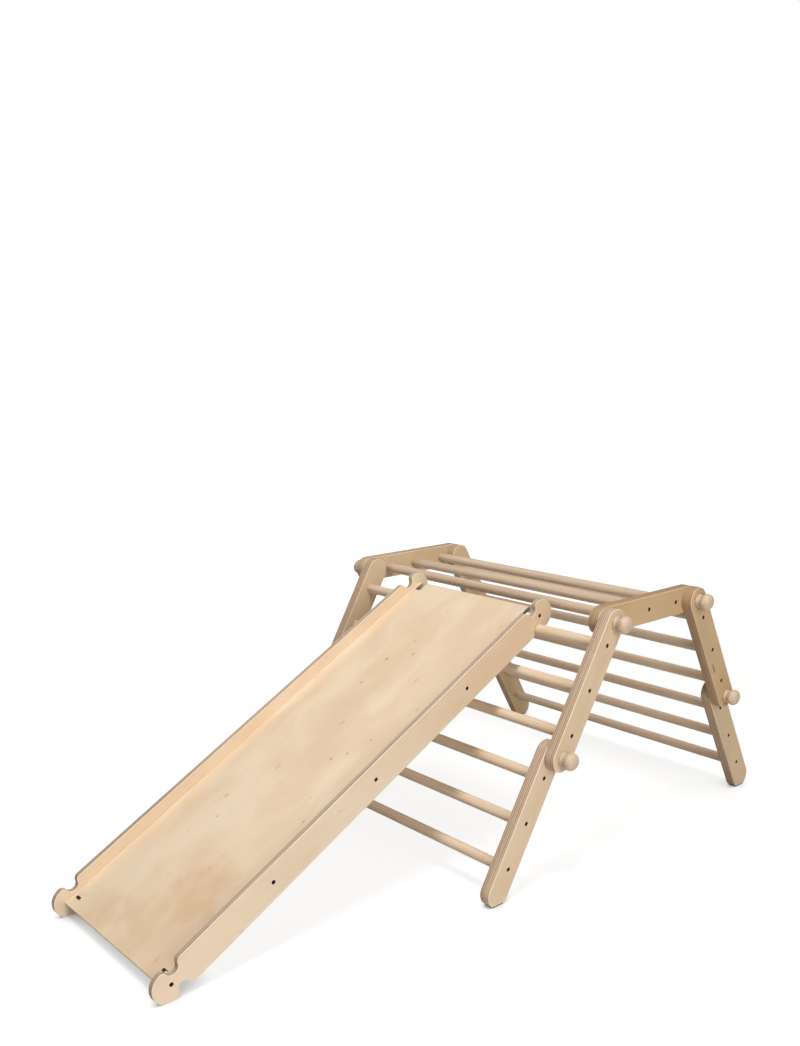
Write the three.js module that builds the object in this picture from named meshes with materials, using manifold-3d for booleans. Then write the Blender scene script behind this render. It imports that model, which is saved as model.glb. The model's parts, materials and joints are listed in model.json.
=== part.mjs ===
// Toddler slide: a folding climbing frame of five ladder sections and a slide hooked onto one rung.
// Millimetres, +Z up. Hinge axes and rungs run along Y, and the slide's foot points to -X.

import * as THREE from 'three';
import { mergeVertices } from 'three/addons/utils/BufferGeometryUtils.js';
import Module from 'manifold-3d';

const wasm = await Module();
wasm.setup();

// Ladder sections
const HINGE_PITCH = 286;
const RUNG_PITCH = 95;
const FIRST_RUNG = 48;
const RUNGS_PER_SECTION = 3;
const RUNG_RADIUS = 11;
const PLATE_RADIUS = 28.5;
const PLATE_THICKNESS = 24;
const LEG_ANGLE = 59.3;
const FRAME_HALF_WIDTH = 372;
const FACE_GAP = 0.3;
const END_GAP = 0.2;
const EASED_EDGE = 1.2;

// Feet
const FOOT_REACH = 289;
const SOLE_DROP = 23.6;
const PAD_THICKNESS = 1.8;
const PAD_GAP = 0.2;

// Hinge hardware
const STUD_RADIUS = 4;
const STUD_HOLE_RADIUS = 4.7;
const STUD_IN_KNOB = 14;
const STUD_IN_INSERT = 13;
const INSERT_RADIUS = 5.7;
const INSERT_BORE_RADIUS = 4.5;
const INSERT_LENGTH = 15;
const POCKET_RADIUS = 6.3;
const POCKET_DEPTH = 15.4;
const KNOB_BORE_RADIUS = 4.4;
const KNOB_BORE_DEPTH = 14.3;
const KNOB_OUTLINE = [
  [14.9, 0], [14.9, 4.2], [11.4, 7], [11.8, 8.8], [16.5, 13.6], [17.8, 18.6], [16.9, 23.8], [13.2, 28.6],
  [7, 30.7],
];

// Counterbores over the screws
const FRAME_RECESS_RADIUS = 4.6;
const FRAME_RECESS_DEPTH = 5;
const SLIDE_RECESS_RADIUS = 4.2;
const SLIDE_RECESS_DEPTH = 3;

// Slide
const SLIDE_LENGTH = 1090;
const SLIDE_WIDTH = 390;
const SLIDE_CENTRE_Y = -24;
const RAIL_RADIUS = 31.5;
const RAIL_THICKNESS = 12;
const RAIL_EASED_EDGE = 0.8;
const NOTCH_RADIUS = 12.2;
const NOTCH_FROM_END = 53;
const NOTCH_OFFSET = 24.5;
const LOBE_FILLET_RADIUS = 10;
const BODY_FILLET_RADIUS = 12;
const SLIDE_FOOT_DROP = 28.4;
const HOOK_SAG = 0.9;
const SCREW_OFFSETS = [-508, -269.5, 0, 269.5, 508];
const BOARD_THICKNESS = 9;
const BOARD_BOTTOM = -2.5;
const BOARD_FROM_END = 23;
const SLOT_FROM_END = 46;
const SLOT_LENGTH = 16.5;
const SLOT_WIDTH = 6;
const SLOT_FROM_RAIL = 10;

// Facets in a full circle
const PLATE_FACETS = 28;
const RUNG_FACETS = 16;
const KNOB_FACETS = 16;
const SMALL_FACETS = 10;

const RADIAN = Math.PI / 180;
const LEG = LEG_ANGLE * RADIAN;

const plyFace = { color: 0xe3cda9, roughness: 0.62, metalness: 0 };
const rungWood = { color: 0xd9b28c, roughness: 0.6, metalness: 0 };
const knobWood = { color: 0xe2c193, roughness: 0.5, metalness: 0 };
const boardPly = { color: 0xe8d3b0, roughness: 0.55, metalness: 0 };
const steel = { color: 0xa8aaad, roughness: 0.35, metalness: 1 };
const insertSteel = { color: 0x8f8a7c, roughness: 0.45, metalness: 1 };
const rubber = { color: 0x17150f, roughness: 0.9, metalness: 0 };

function toManifold(geometry) {
  const bare = geometry.clone();
  bare.deleteAttribute('normal');
  bare.deleteAttribute('uv');
  const merged = mergeVertices(bare, 1e-4);
  const mesh = new wasm.Mesh({
    numProp: 3,
    vertProperties: new Float32Array(merged.attributes.position.array),
    triVerts: new Uint32Array(merged.index.array),
  });
  return new wasm.Manifold(mesh);
}

function toGeometry(manifold) {
  const mesh = manifold.getMesh();
  const geometry = new THREE.BufferGeometry();
  geometry.setAttribute('position', new THREE.BufferAttribute(new Float32Array(mesh.vertProperties), 3));
  geometry.setIndex(new THREE.BufferAttribute(new Uint32Array(mesh.triVerts), 1));
  geometry.computeVertexNormals();
  return geometry;
}

function named(name, geometry, finish) {
  const mesh = new THREE.Mesh(geometry, new THREE.MeshStandardMaterial(finish));
  mesh.name = name;
  return mesh;
}

// A sheet cut to an outline in X and Z, between two Y positions, with a small chamfer along both faces
function sheet(outline, yLow, yHigh, chamfer) {
  const geometry = new THREE.ExtrudeGeometry(outline, {
    depth: yHigh - yLow - 2 * chamfer,
    bevelEnabled: chamfer > 0,
    bevelThickness: chamfer,
    bevelSize: chamfer,
    bevelOffset: -chamfer,
    bevelSegments: 1,
    curveSegments: PLATE_FACETS,
  });
  geometry.rotateX(Math.PI / 2);
  geometry.translate(0, yHigh - chamfer, 0);
  return geometry;
}

// A round cutter or pin along Y
function pinAlongY(radius, x, z, yLow, yHigh, facets) {
  const geometry = new THREE.CylinderGeometry(radius, radius, yHigh - yLow, facets);
  geometry.translate(x, (yLow + yHigh) / 2, z);
  return geometry;
}

function cut(geometry, cutters) {
  let solid = toManifold(geometry);
  for (const cutter of cutters) {
    solid = solid.subtract(toManifold(cutter));
  }
  return toGeometry(solid);
}

function arcPoints(centre, radius, from, to) {
  const steps = Math.max(1, Math.round((Math.abs(to - from) / (2 * Math.PI)) * PLATE_FACETS));
  const points = [];
  for (let i = 0; i <= steps; i += 1) {
    const angle = from + ((to - from) * i) / steps;
    points.push(new THREE.Vector2(centre.x + radius * Math.cos(angle), centre.y + radius * Math.sin(angle)));
  }
  return points;
}

function withoutRepeats(points) {
  const kept = points.filter((point, i) => i === 0 || point.distanceTo(points[i - 1]) > 1e-3);
  if (kept[0].distanceTo(kept[kept.length - 1]) < 1e-3) {
    kept.pop();
  }
  return kept;
}

// Round ended plate from one hinge to the other end; a foot has its end circle cut flat
function plateOutline(reach, soleAngle) {
  const nearEnd = new THREE.Vector2(0, 0);
  const farEnd = new THREE.Vector2(reach, 0);
  const points = arcPoints(nearEnd, PLATE_RADIUS, Math.PI / 2, 1.5 * Math.PI);
  if (soleAngle === null) {
    points.push(...arcPoints(farEnd, PLATE_RADIUS, -Math.PI / 2, Math.PI / 2));
  } else {
    const halfSole = Math.acos(SOLE_DROP / PLATE_RADIUS);
    points.push(...arcPoints(farEnd, PLATE_RADIUS, -Math.PI / 2, soleAngle - halfSole));
    points.push(...arcPoints(farEnd, PLATE_RADIUS, soleAngle + halfSole, Math.PI / 2));
  }
  return new THREE.Shape(withoutRepeats(points));
}

const rungPositions = Array.from({ length: RUNGS_PER_SECTION }, (_, i) => FIRST_RUNG + i * RUNG_PITCH);

// side is -1 for the near plate and +1 for the far one; yIn is its face towards the rungs
function sidePlate(name, section, side, yIn, hinges) {
  const yOut = yIn + side * PLATE_THICKNESS;
  const yLow = Math.min(yIn, yOut);
  const yHigh = Math.max(yIn, yOut);
  const cutters = rungPositions.map((x) => {
    const bottom = yOut - side * FRAME_RECESS_DEPTH;
    const mouth = yOut + side;
    return pinAlongY(FRAME_RECESS_RADIUS, x, 0, Math.min(bottom, mouth), Math.max(bottom, mouth), SMALL_FACETS);
  });
  for (const x of hinges) {
    if (section.outerOn === side) {
      cutters.push(pinAlongY(STUD_HOLE_RADIUS, x, 0, yLow - 1, yHigh + 1, SMALL_FACETS));
    } else {
      const bottom = yOut - side * POCKET_DEPTH;
      const mouth = yOut + side;
      cutters.push(pinAlongY(POCKET_RADIUS, x, 0, Math.min(bottom, mouth), Math.max(bottom, mouth), SMALL_FACETS));
    }
  }
  const outline = plateOutline(section.reach, section.soleAngle);
  return named(name, cut(sheet(outline, yLow, yHigh, EASED_EDGE), cutters), plyFace);
}

// Threaded insert, pressed into the inner plate of a hinge from its outward side
function hingeInsert(name, side, yFace, x) {
  const ring = new THREE.Shape();
  ring.absarc(x, 0, INSERT_RADIUS, 0, 2 * Math.PI, false);
  const bore = new THREE.Path();
  bore.absarc(x, 0, INSERT_BORE_RADIUS, 0, 2 * Math.PI, true);
  ring.holes.push(bore);
  const start = yFace - side * END_GAP;
  const end = start - side * INSERT_LENGTH;
  const geometry = new THREE.ExtrudeGeometry(ring, {
    depth: INSERT_LENGTH,
    bevelEnabled: false,
    curveSegments: SMALL_FACETS / 2,
  });
  geometry.rotateX(Math.PI / 2);
  geometry.translate(0, Math.max(start, end), 0);
  return named(name, geometry, insertSteel);
}

// Turned knob with its stud; the knob's flange faces the plate at yFace and side is the way it points
function knobWithStud(label, side, yFace, x) {
  const profile = [new THREE.Vector2(0, KNOB_BORE_DEPTH), new THREE.Vector2(KNOB_BORE_RADIUS, KNOB_BORE_DEPTH)];
  profile.push(new THREE.Vector2(KNOB_BORE_RADIUS, 0));
  profile.push(...KNOB_OUTLINE.map(([r, y]) => new THREE.Vector2(r, y)));
  profile.push(new THREE.Vector2(0, KNOB_OUTLINE[KNOB_OUTLINE.length - 1][1] + 0.3));
  const head = new THREE.LatheGeometry(profile, KNOB_FACETS);
  if (side < 0) {
    head.rotateX(Math.PI);
  }
  head.translate(x, yFace + side * FACE_GAP, 0);
  const outer = yFace + side * (FACE_GAP + STUD_IN_KNOB);
  const inner = yFace - side * (PLATE_THICKNESS + FACE_GAP + STUD_IN_INSERT);
  const shaft = pinAlongY(STUD_RADIUS, x, 0, Math.min(outer, inner), Math.max(outer, inner), SMALL_FACETS);
  const group = new THREE.Group();
  group.add(named(`knob_${label}`, toGeometry(toManifold(head)), knobWood));
  group.add(named(`stud_${label}`, shaft, steel));
  return group;
}

// One ladder section, laid along its own +X from its upper hinge, then turned to its angle
function ladderSection(section) {
  const group = new THREE.Group();
  group.name = section.name;
  const hinges = section.soleAngle === null ? [0, HINGE_PITCH] : [0];
  const yNear = -section.innerNear;
  const yFar = section.innerFar;
  group.add(sidePlate(`${section.name}_plate_near`, section, -1, yNear, hinges));
  group.add(sidePlate(`${section.name}_plate_far`, section, 1, yFar, hinges));
  rungPositions.forEach((x, i) => {
    const rod = pinAlongY(RUNG_RADIUS, x, 0, yNear + END_GAP, yFar - END_GAP, RUNG_FACETS);
    group.add(named(`${section.name}_rung_${i + 1}`, rod, rungWood));
  });
  for (const [label, x] of section.insertNear) {
    group.add(hingeInsert(`insert_${label}_near`, -1, yNear - PLATE_THICKNESS, x));
  }
  for (const [label, x] of section.insertFar) {
    group.add(hingeInsert(`insert_${label}_far`, 1, yFar + PLATE_THICKNESS, x));
  }
  for (const [label, x] of section.knobNear) {
    group.add(knobWithStud(`${label}_near`, -1, yNear - PLATE_THICKNESS, x));
  }
  for (const [label, x] of section.knobFar) {
    group.add(knobWithStud(`${label}_far`, 1, yFar + PLATE_THICKNESS, x));
  }
  group.position.set(section.at.x, 0, section.at.y);
  group.rotation.y = -section.angle;
  return group;
}

const frontAngle = Math.PI + LEG;
const rearAngle = -LEG;
const hingeHeight = (HINGE_PITCH + FOOT_REACH) * Math.sin(LEG) + SOLE_DROP + PAD_THICKNESS + PAD_GAP;
const frontTop = new THREE.Vector2(0, hingeHeight);
const rearTop = new THREE.Vector2(HINGE_PITCH, hingeHeight);

function along(start, angle, distance) {
  return new THREE.Vector2(start.x + distance * Math.cos(angle), start.y + distance * Math.sin(angle));
}

const frontKnee = along(frontTop, frontAngle, HINGE_PITCH);
const rearKnee = along(rearTop, rearAngle, HINGE_PITCH);
const squareInner = FRAME_HALF_WIDTH - PLATE_THICKNESS;
const offsetNear = FRAME_HALF_WIDTH + FACE_GAP;
const offsetFar = FRAME_HALF_WIDTH - 2 * PLATE_THICKNESS - FACE_GAP;

// Top and lower sections are square to the frame; upper legs sit one plate thickness towards -Y
const square = { innerNear: squareInner, innerFar: squareInner, outerOn: 1 };
const offset = { innerNear: offsetNear, innerFar: offsetFar, outerOn: -1 };

const sections = [
  {
    ...square,
    name: 'top',
    at: frontTop,
    angle: 0,
    reach: HINGE_PITCH,
    soleAngle: null,
    insertNear: [['front_top', 0], ['rear_top', HINGE_PITCH]],
    insertFar: [],
    knobNear: [],
    knobFar: [['front_top', 0], ['rear_top', HINGE_PITCH]],
  },
  {
    ...offset,
    name: 'front_upper',
    at: frontTop,
    angle: frontAngle,
    reach: HINGE_PITCH,
    soleAngle: null,
    insertNear: [],
    insertFar: [['front_top', 0], ['front_knee', HINGE_PITCH]],
    knobNear: [['front_top', 0], ['front_knee', HINGE_PITCH]],
    knobFar: [],
  },
  {
    ...square,
    name: 'front_lower',
    at: frontKnee,
    angle: frontAngle,
    reach: FOOT_REACH,
    soleAngle: 1.5 * Math.PI - frontAngle,
    insertNear: [['front_knee', 0]],
    insertFar: [],
    knobNear: [],
    knobFar: [['front_knee', 0]],
  },
  {
    ...offset,
    name: 'rear_upper',
    at: rearTop,
    angle: rearAngle,
    reach: HINGE_PITCH,
    soleAngle: null,
    insertNear: [],
    insertFar: [['rear_top', 0], ['rear_knee', HINGE_PITCH]],
    knobNear: [['rear_top', 0], ['rear_knee', HINGE_PITCH]],
    knobFar: [],
  },
  {
    ...square,
    name: 'rear_lower',
    at: rearKnee,
    angle: rearAngle,
    reach: FOOT_REACH,
    soleAngle: -Math.PI / 2 - rearAngle,
    insertNear: [['rear_knee', 0]],
    insertFar: [],
    knobNear: [],
    knobFar: [['rear_knee', 0]],
  },
];

// Flat rubber pad under each foot
function floorPad(name, knee, angle, side) {
  const centre = along(knee, angle, FOOT_REACH);
  const halfSole = Math.sqrt(PLATE_RADIUS ** 2 - SOLE_DROP ** 2) - EASED_EDGE;
  const outline = new THREE.Shape([
    new THREE.Vector2(centre.x - halfSole, 0),
    new THREE.Vector2(centre.x + halfSole, 0),
    new THREE.Vector2(centre.x + halfSole, PAD_THICKNESS),
    new THREE.Vector2(centre.x - halfSole, PAD_THICKNESS),
  ]);
  const inner = side * squareInner;
  const outer = side * FRAME_HALF_WIDTH;
  const yLow = Math.min(inner, outer) + EASED_EDGE;
  const yHigh = Math.max(inner, outer) - EASED_EDGE;
  return named(name, sheet(outline, yLow, yHigh, 0), rubber);
}

function fromTo(centre, point) {
  return Math.atan2(point.y - centre.y, point.x - centre.x);
}

// One end of a rail, drawn from the upper edge round the lobe to the lower edge.
// Lobe, fillet, notch and corner arcs meet tangent to each other.
function railEnd(footAngle) {
  const lobe = new THREE.Vector2(RAIL_RADIUS, 0);
  const notch = new THREE.Vector2(NOTCH_FROM_END, NOTCH_OFFSET);
  const cornerRise = RAIL_RADIUS - BODY_FILLET_RADIUS;
  const cornerRun = Math.sqrt((NOTCH_RADIUS + BODY_FILLET_RADIUS) ** 2 - (NOTCH_OFFSET - cornerRise) ** 2);
  const corner = new THREE.Vector2(NOTCH_FROM_END + cornerRun, cornerRise);
  const toLobe = RAIL_RADIUS - LOBE_FILLET_RADIUS;
  const toNotch = NOTCH_RADIUS + LOBE_FILLET_RADIUS;
  const span = lobe.distanceTo(notch);
  const foot = (toLobe ** 2 - toNotch ** 2 + span ** 2) / (2 * span);
  const rise = Math.sqrt(toLobe ** 2 - foot ** 2);
  const unit = notch.clone().sub(lobe).divideScalar(span);
  const fillet = new THREE.Vector2(
    lobe.x + unit.x * foot - unit.y * rise,
    lobe.y + unit.y * foot + unit.x * rise,
  );
  const upper = [
    ...arcPoints(corner, BODY_FILLET_RADIUS, Math.PI / 2, fromTo(corner, notch)),
    ...arcPoints(notch, NOTCH_RADIUS, fromTo(notch, corner), fromTo(notch, fillet)),
    ...arcPoints(fillet, LOBE_FILLET_RADIUS, fromTo(fillet, notch), fromTo(lobe, fillet)),
  ];
  const lower = upper.map((point) => new THREE.Vector2(point.x, -point.y)).reverse();
  const lobeStart = fromTo(lobe, fillet);
  const lobeEnd = 2 * Math.PI - lobeStart;
  if (footAngle === null) {
    return [...upper, ...arcPoints(lobe, RAIL_RADIUS, lobeStart, lobeEnd), ...lower];
  }
  const halfFoot = Math.acos(SLIDE_FOOT_DROP / RAIL_RADIUS);
  return [
    ...upper,
    ...arcPoints(lobe, RAIL_RADIUS, lobeStart, footAngle - halfFoot),
    ...arcPoints(lobe, RAIL_RADIUS, footAngle + halfFoot, lobeEnd),
    ...lower,
  ];
}

// The slide leans from the floor to the first rung of the front upper section
const hookRung = along(frontTop, frontAngle, FIRST_RUNG);
const hookRun = SLIDE_LENGTH - NOTCH_FROM_END - RAIL_RADIUS;
const hookRise = hookRung.y - HOOK_SAG - SLIDE_FOOT_DROP;
const slideAngle = Math.asin(hookRise / Math.hypot(hookRun, NOTCH_OFFSET)) + Math.atan2(NOTCH_OFFSET, hookRun);
const slideFoot = new THREE.Vector2(
  hookRung.x - (SLIDE_LENGTH - NOTCH_FROM_END) * Math.cos(slideAngle) - NOTCH_OFFSET * Math.sin(slideAngle),
  hookRung.y - HOOK_SAG - (SLIDE_LENGTH - NOTCH_FROM_END) * Math.sin(slideAngle)
    + NOTCH_OFFSET * Math.cos(slideAngle),
);

function sideRail(name, side) {
  const lowEnd = railEnd(1.5 * Math.PI - slideAngle);
  const highEnd = railEnd(null).map((point) => new THREE.Vector2(SLIDE_LENGTH - point.x, point.y)).reverse();
  const outline = new THREE.Shape(withoutRepeats([...lowEnd, ...highEnd]));
  const yOut = SLIDE_CENTRE_Y + (side * SLIDE_WIDTH) / 2;
  const yIn = yOut - side * RAIL_THICKNESS;
  const bottom = yOut - side * SLIDE_RECESS_DEPTH;
  const mouth = yOut + side;
  const cutters = SCREW_OFFSETS.map((offset) => pinAlongY(
    SLIDE_RECESS_RADIUS,
    SLIDE_LENGTH / 2 + offset,
    0,
    Math.min(bottom, mouth),
    Math.max(bottom, mouth),
    SMALL_FACETS,
  ));
  const blank = sheet(outline, Math.min(yIn, yOut), Math.max(yIn, yOut), RAIL_EASED_EDGE);
  return named(name, cut(blank, cutters), plyFace);
}

// Oblong cutter through the board; a notch runs on past the board's end
function slotCutter(uCentre, yCentre, runOn) {
  const half = SLOT_LENGTH / 2;
  const radius = SLOT_WIDTH / 2;
  const outline = new THREE.Shape();
  if (runOn) {
    outline.moveTo(uCentre + runOn, yCentre + half);
    outline.lineTo(uCentre, yCentre + half);
    outline.absarc(uCentre, yCentre + half - radius, radius, Math.PI / 2, Math.PI, false);
    outline.absarc(uCentre, yCentre - half + radius, radius, Math.PI, 1.5 * Math.PI, false);
    outline.lineTo(uCentre + runOn, yCentre - half);
  } else {
    outline.absarc(uCentre, yCentre + half - radius, radius, 0, Math.PI, false);
    outline.absarc(uCentre, yCentre - half + radius, radius, Math.PI, 2 * Math.PI, false);
  }
  const geometry = new THREE.ExtrudeGeometry(outline, {
    depth: BOARD_THICKNESS + 2,
    bevelEnabled: false,
    curveSegments: SMALL_FACETS / 2,
  });
  geometry.translate(0, 0, BOARD_BOTTOM - 1);
  return geometry;
}

function slideBoard() {
  const halfWidth = SLIDE_WIDTH / 2 - RAIL_THICKNESS - END_GAP;
  const length = SLIDE_LENGTH - 2 * BOARD_FROM_END;
  const board = new THREE.BoxGeometry(length, 2 * halfWidth, BOARD_THICKNESS);
  board.translate(SLIDE_LENGTH / 2, SLIDE_CENTRE_Y, BOARD_BOTTOM + BOARD_THICKNESS / 2);
  const slotY = SLIDE_WIDTH / 2 - RAIL_THICKNESS - SLOT_FROM_RAIL - SLOT_LENGTH / 2;
  const cutters = [-1, 1].flatMap((side) => [
    slotCutter(SLOT_FROM_END, SLIDE_CENTRE_Y + side * slotY, 0),
    slotCutter(SLIDE_LENGTH - SLOT_FROM_END, SLIDE_CENTRE_Y + side * slotY, SLOT_FROM_END),
  ]);
  return named('slide_board', cut(board, cutters), boardPly);
}

const slide = new THREE.Group();
slide.name = 'slide';
slide.add(sideRail('slide_rail_near', -1));
slide.add(sideRail('slide_rail_far', 1));
slide.add(slideBoard());
slide.position.set(slideFoot.x, 0, slideFoot.y);
slide.rotation.y = -slideAngle;

const toddlerSlide = new THREE.Group();
toddlerSlide.name = 'toddler_slide';
for (const section of sections) {
  toddlerSlide.add(ladderSection(section));
}
for (const [side, label] of [[-1, 'near'], [1, 'far']]) {
  toddlerSlide.add(floorPad(`pad_front_${label}`, frontKnee, frontAngle, side));
  toddlerSlide.add(floorPad(`pad_rear_${label}`, rearKnee, rearAngle, side));
}
toddlerSlide.add(slide);

// Put the origin under the middle of the whole object, on the floor
const extent = new THREE.Box3().setFromObject(toddlerSlide, true);
toddlerSlide.position.x = -(extent.min.x + extent.max.x) / 2;
toddlerSlide.position.y = -(extent.min.y + extent.max.y) / 2;

export default toddlerSlide;
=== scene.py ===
"""Toddler slide: a folding birch climbing frame with a plywood slide hooked onto one rung.

Each sub-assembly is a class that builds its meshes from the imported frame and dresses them.
"""

import json
import logging
import math
import random
from collections.abc import Sequence
from dataclasses import dataclass, field, replace
from enum import Enum

import bmesh
import bpy
from mathutils import Matrix, Vector


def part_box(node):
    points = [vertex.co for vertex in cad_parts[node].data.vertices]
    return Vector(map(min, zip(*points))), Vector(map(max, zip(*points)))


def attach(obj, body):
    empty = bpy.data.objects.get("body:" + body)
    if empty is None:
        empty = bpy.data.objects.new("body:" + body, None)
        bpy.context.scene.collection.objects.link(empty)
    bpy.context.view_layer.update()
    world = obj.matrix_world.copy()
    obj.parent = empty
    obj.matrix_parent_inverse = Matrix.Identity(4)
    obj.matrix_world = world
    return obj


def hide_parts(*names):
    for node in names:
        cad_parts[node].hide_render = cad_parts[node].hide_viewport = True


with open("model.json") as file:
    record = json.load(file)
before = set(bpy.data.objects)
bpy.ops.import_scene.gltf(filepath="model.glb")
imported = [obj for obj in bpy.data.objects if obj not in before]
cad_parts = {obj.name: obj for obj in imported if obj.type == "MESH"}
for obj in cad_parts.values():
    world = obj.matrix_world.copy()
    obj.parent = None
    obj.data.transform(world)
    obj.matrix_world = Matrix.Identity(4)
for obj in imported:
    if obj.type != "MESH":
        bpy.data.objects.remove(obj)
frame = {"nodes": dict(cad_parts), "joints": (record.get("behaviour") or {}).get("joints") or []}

LOG = logging.getLogger("toddler_slide")
MM = 0.001
GRAIN = "grain"
EDGE = "edge"
FACING = "facing"
TONE_AND_SHADE = "tone"
ROD_SHIFT = "rod_shift"
CROWN_SHARE = 0.84
X_AXIS = Vector((1.0, 0.0, 0.0))
Y_AXIS = Vector((0.0, 1.0, 0.0))
Z_AXIS = Vector((0.0, 0.0, 1.0))
Colour = tuple[float, float, float]
WHITE: Colour = (1.0, 1.0, 1.0)


def dimmed(colour: Colour, share: float) -> Colour:
    """A share of a colour's light."""
    return tuple(share * part for part in colour)


def joint_point(joint: str) -> Vector:
    """Point on the axis of a joint.

    Args:
        joint: name of the joint.

    Returns:
        The point, in metres.
    """
    found = next(j for j in frame["joints"] if j["name"] == joint)
    return Vector(found["pos_m"])


def centre_of(node: str) -> Vector:
    """Middle of a node's box.

    Args:
        node: name of the CAD node.

    Returns:
        The middle, in metres.
    """
    low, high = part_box(node)
    return (low + high) / 2


def plane_frame(origin: Vector, along: Vector, through: Vector) -> Matrix:
    """Frame of a sheet: its first axis runs along it and its third goes through it.

    Args:
        origin: where the frame's own origin lies.
        along: direction of the first axis.
        through: direction of the third axis.

    Returns:
        The matrix from the sheet's own coordinates to the shared frame.
    """
    first = along.normalized()
    third = through.normalized()
    second = third.cross(first)
    turned = Matrix((first, second, third)).transposed().to_4x4()
    return Matrix.Translation(origin) @ turned


# ---------------------------------------------------------------- shader graph


class Wire:
    """A shader socket that takes part in arithmetic."""

    def __init__(self, desk: "ShaderDesk", socket: bpy.types.NodeSocket) -> None:
        """Keeps the socket and the desk that adds nodes for it."""
        self.desk = desk
        self.socket = socket

    def __add__(self, other: "Wire | float") -> "Wire":
        """Sum."""
        return self.desk.math("ADD", self, other)

    def __radd__(self, other: float) -> "Wire":
        """Sum with a number on the left."""
        return self.desk.math("ADD", other, self)

    def __sub__(self, other: "Wire | float") -> "Wire":
        """Difference."""
        return self.desk.math("SUBTRACT", self, other)

    def __rsub__(self, other: float) -> "Wire":
        """Difference from a number."""
        return self.desk.math("SUBTRACT", other, self)

    def __mul__(self, other: "Wire | float") -> "Wire":
        """Product."""
        return self.desk.math("MULTIPLY", self, other)

    def __rmul__(self, other: float) -> "Wire":
        """Product with a number on the left."""
        return self.desk.math("MULTIPLY", other, self)

    def __truediv__(self, other: "Wire | float") -> "Wire":
        """Quotient."""
        return self.desk.math("DIVIDE", self, other)

    def __gt__(self, other: "Wire | float") -> "Wire":
        """One where this is greater, else nought."""
        return self.desk.math("GREATER_THAN", self, other)


class NodeDesk:
    """A node tree and the call that adds a node to it."""

    def __init__(self, tree: bpy.types.NodeTree) -> None:
        """Keeps the tree."""
        self.tree = tree

    def node(self, kind: str, settings: dict | None = None, sockets: dict | None = None) -> bpy.types.Node:
        """Adds a node.

        Args:
            kind: type of the node.
            settings: properties, set first.
            sockets: values, wires or sockets by socket name or index.

        Returns:
            The node.
        """
        made = self.tree.nodes.new(kind)
        for key, value in (settings or {}).items():
            setattr(made, key, value)
        for key, value in (sockets or {}).items():
            given = value.socket if isinstance(value, Wire) else value
            if isinstance(given, bpy.types.NodeSocket):
                self.tree.links.new(given, made.inputs[key])
            else:
                made.inputs[key].default_value = given
        return made


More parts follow.
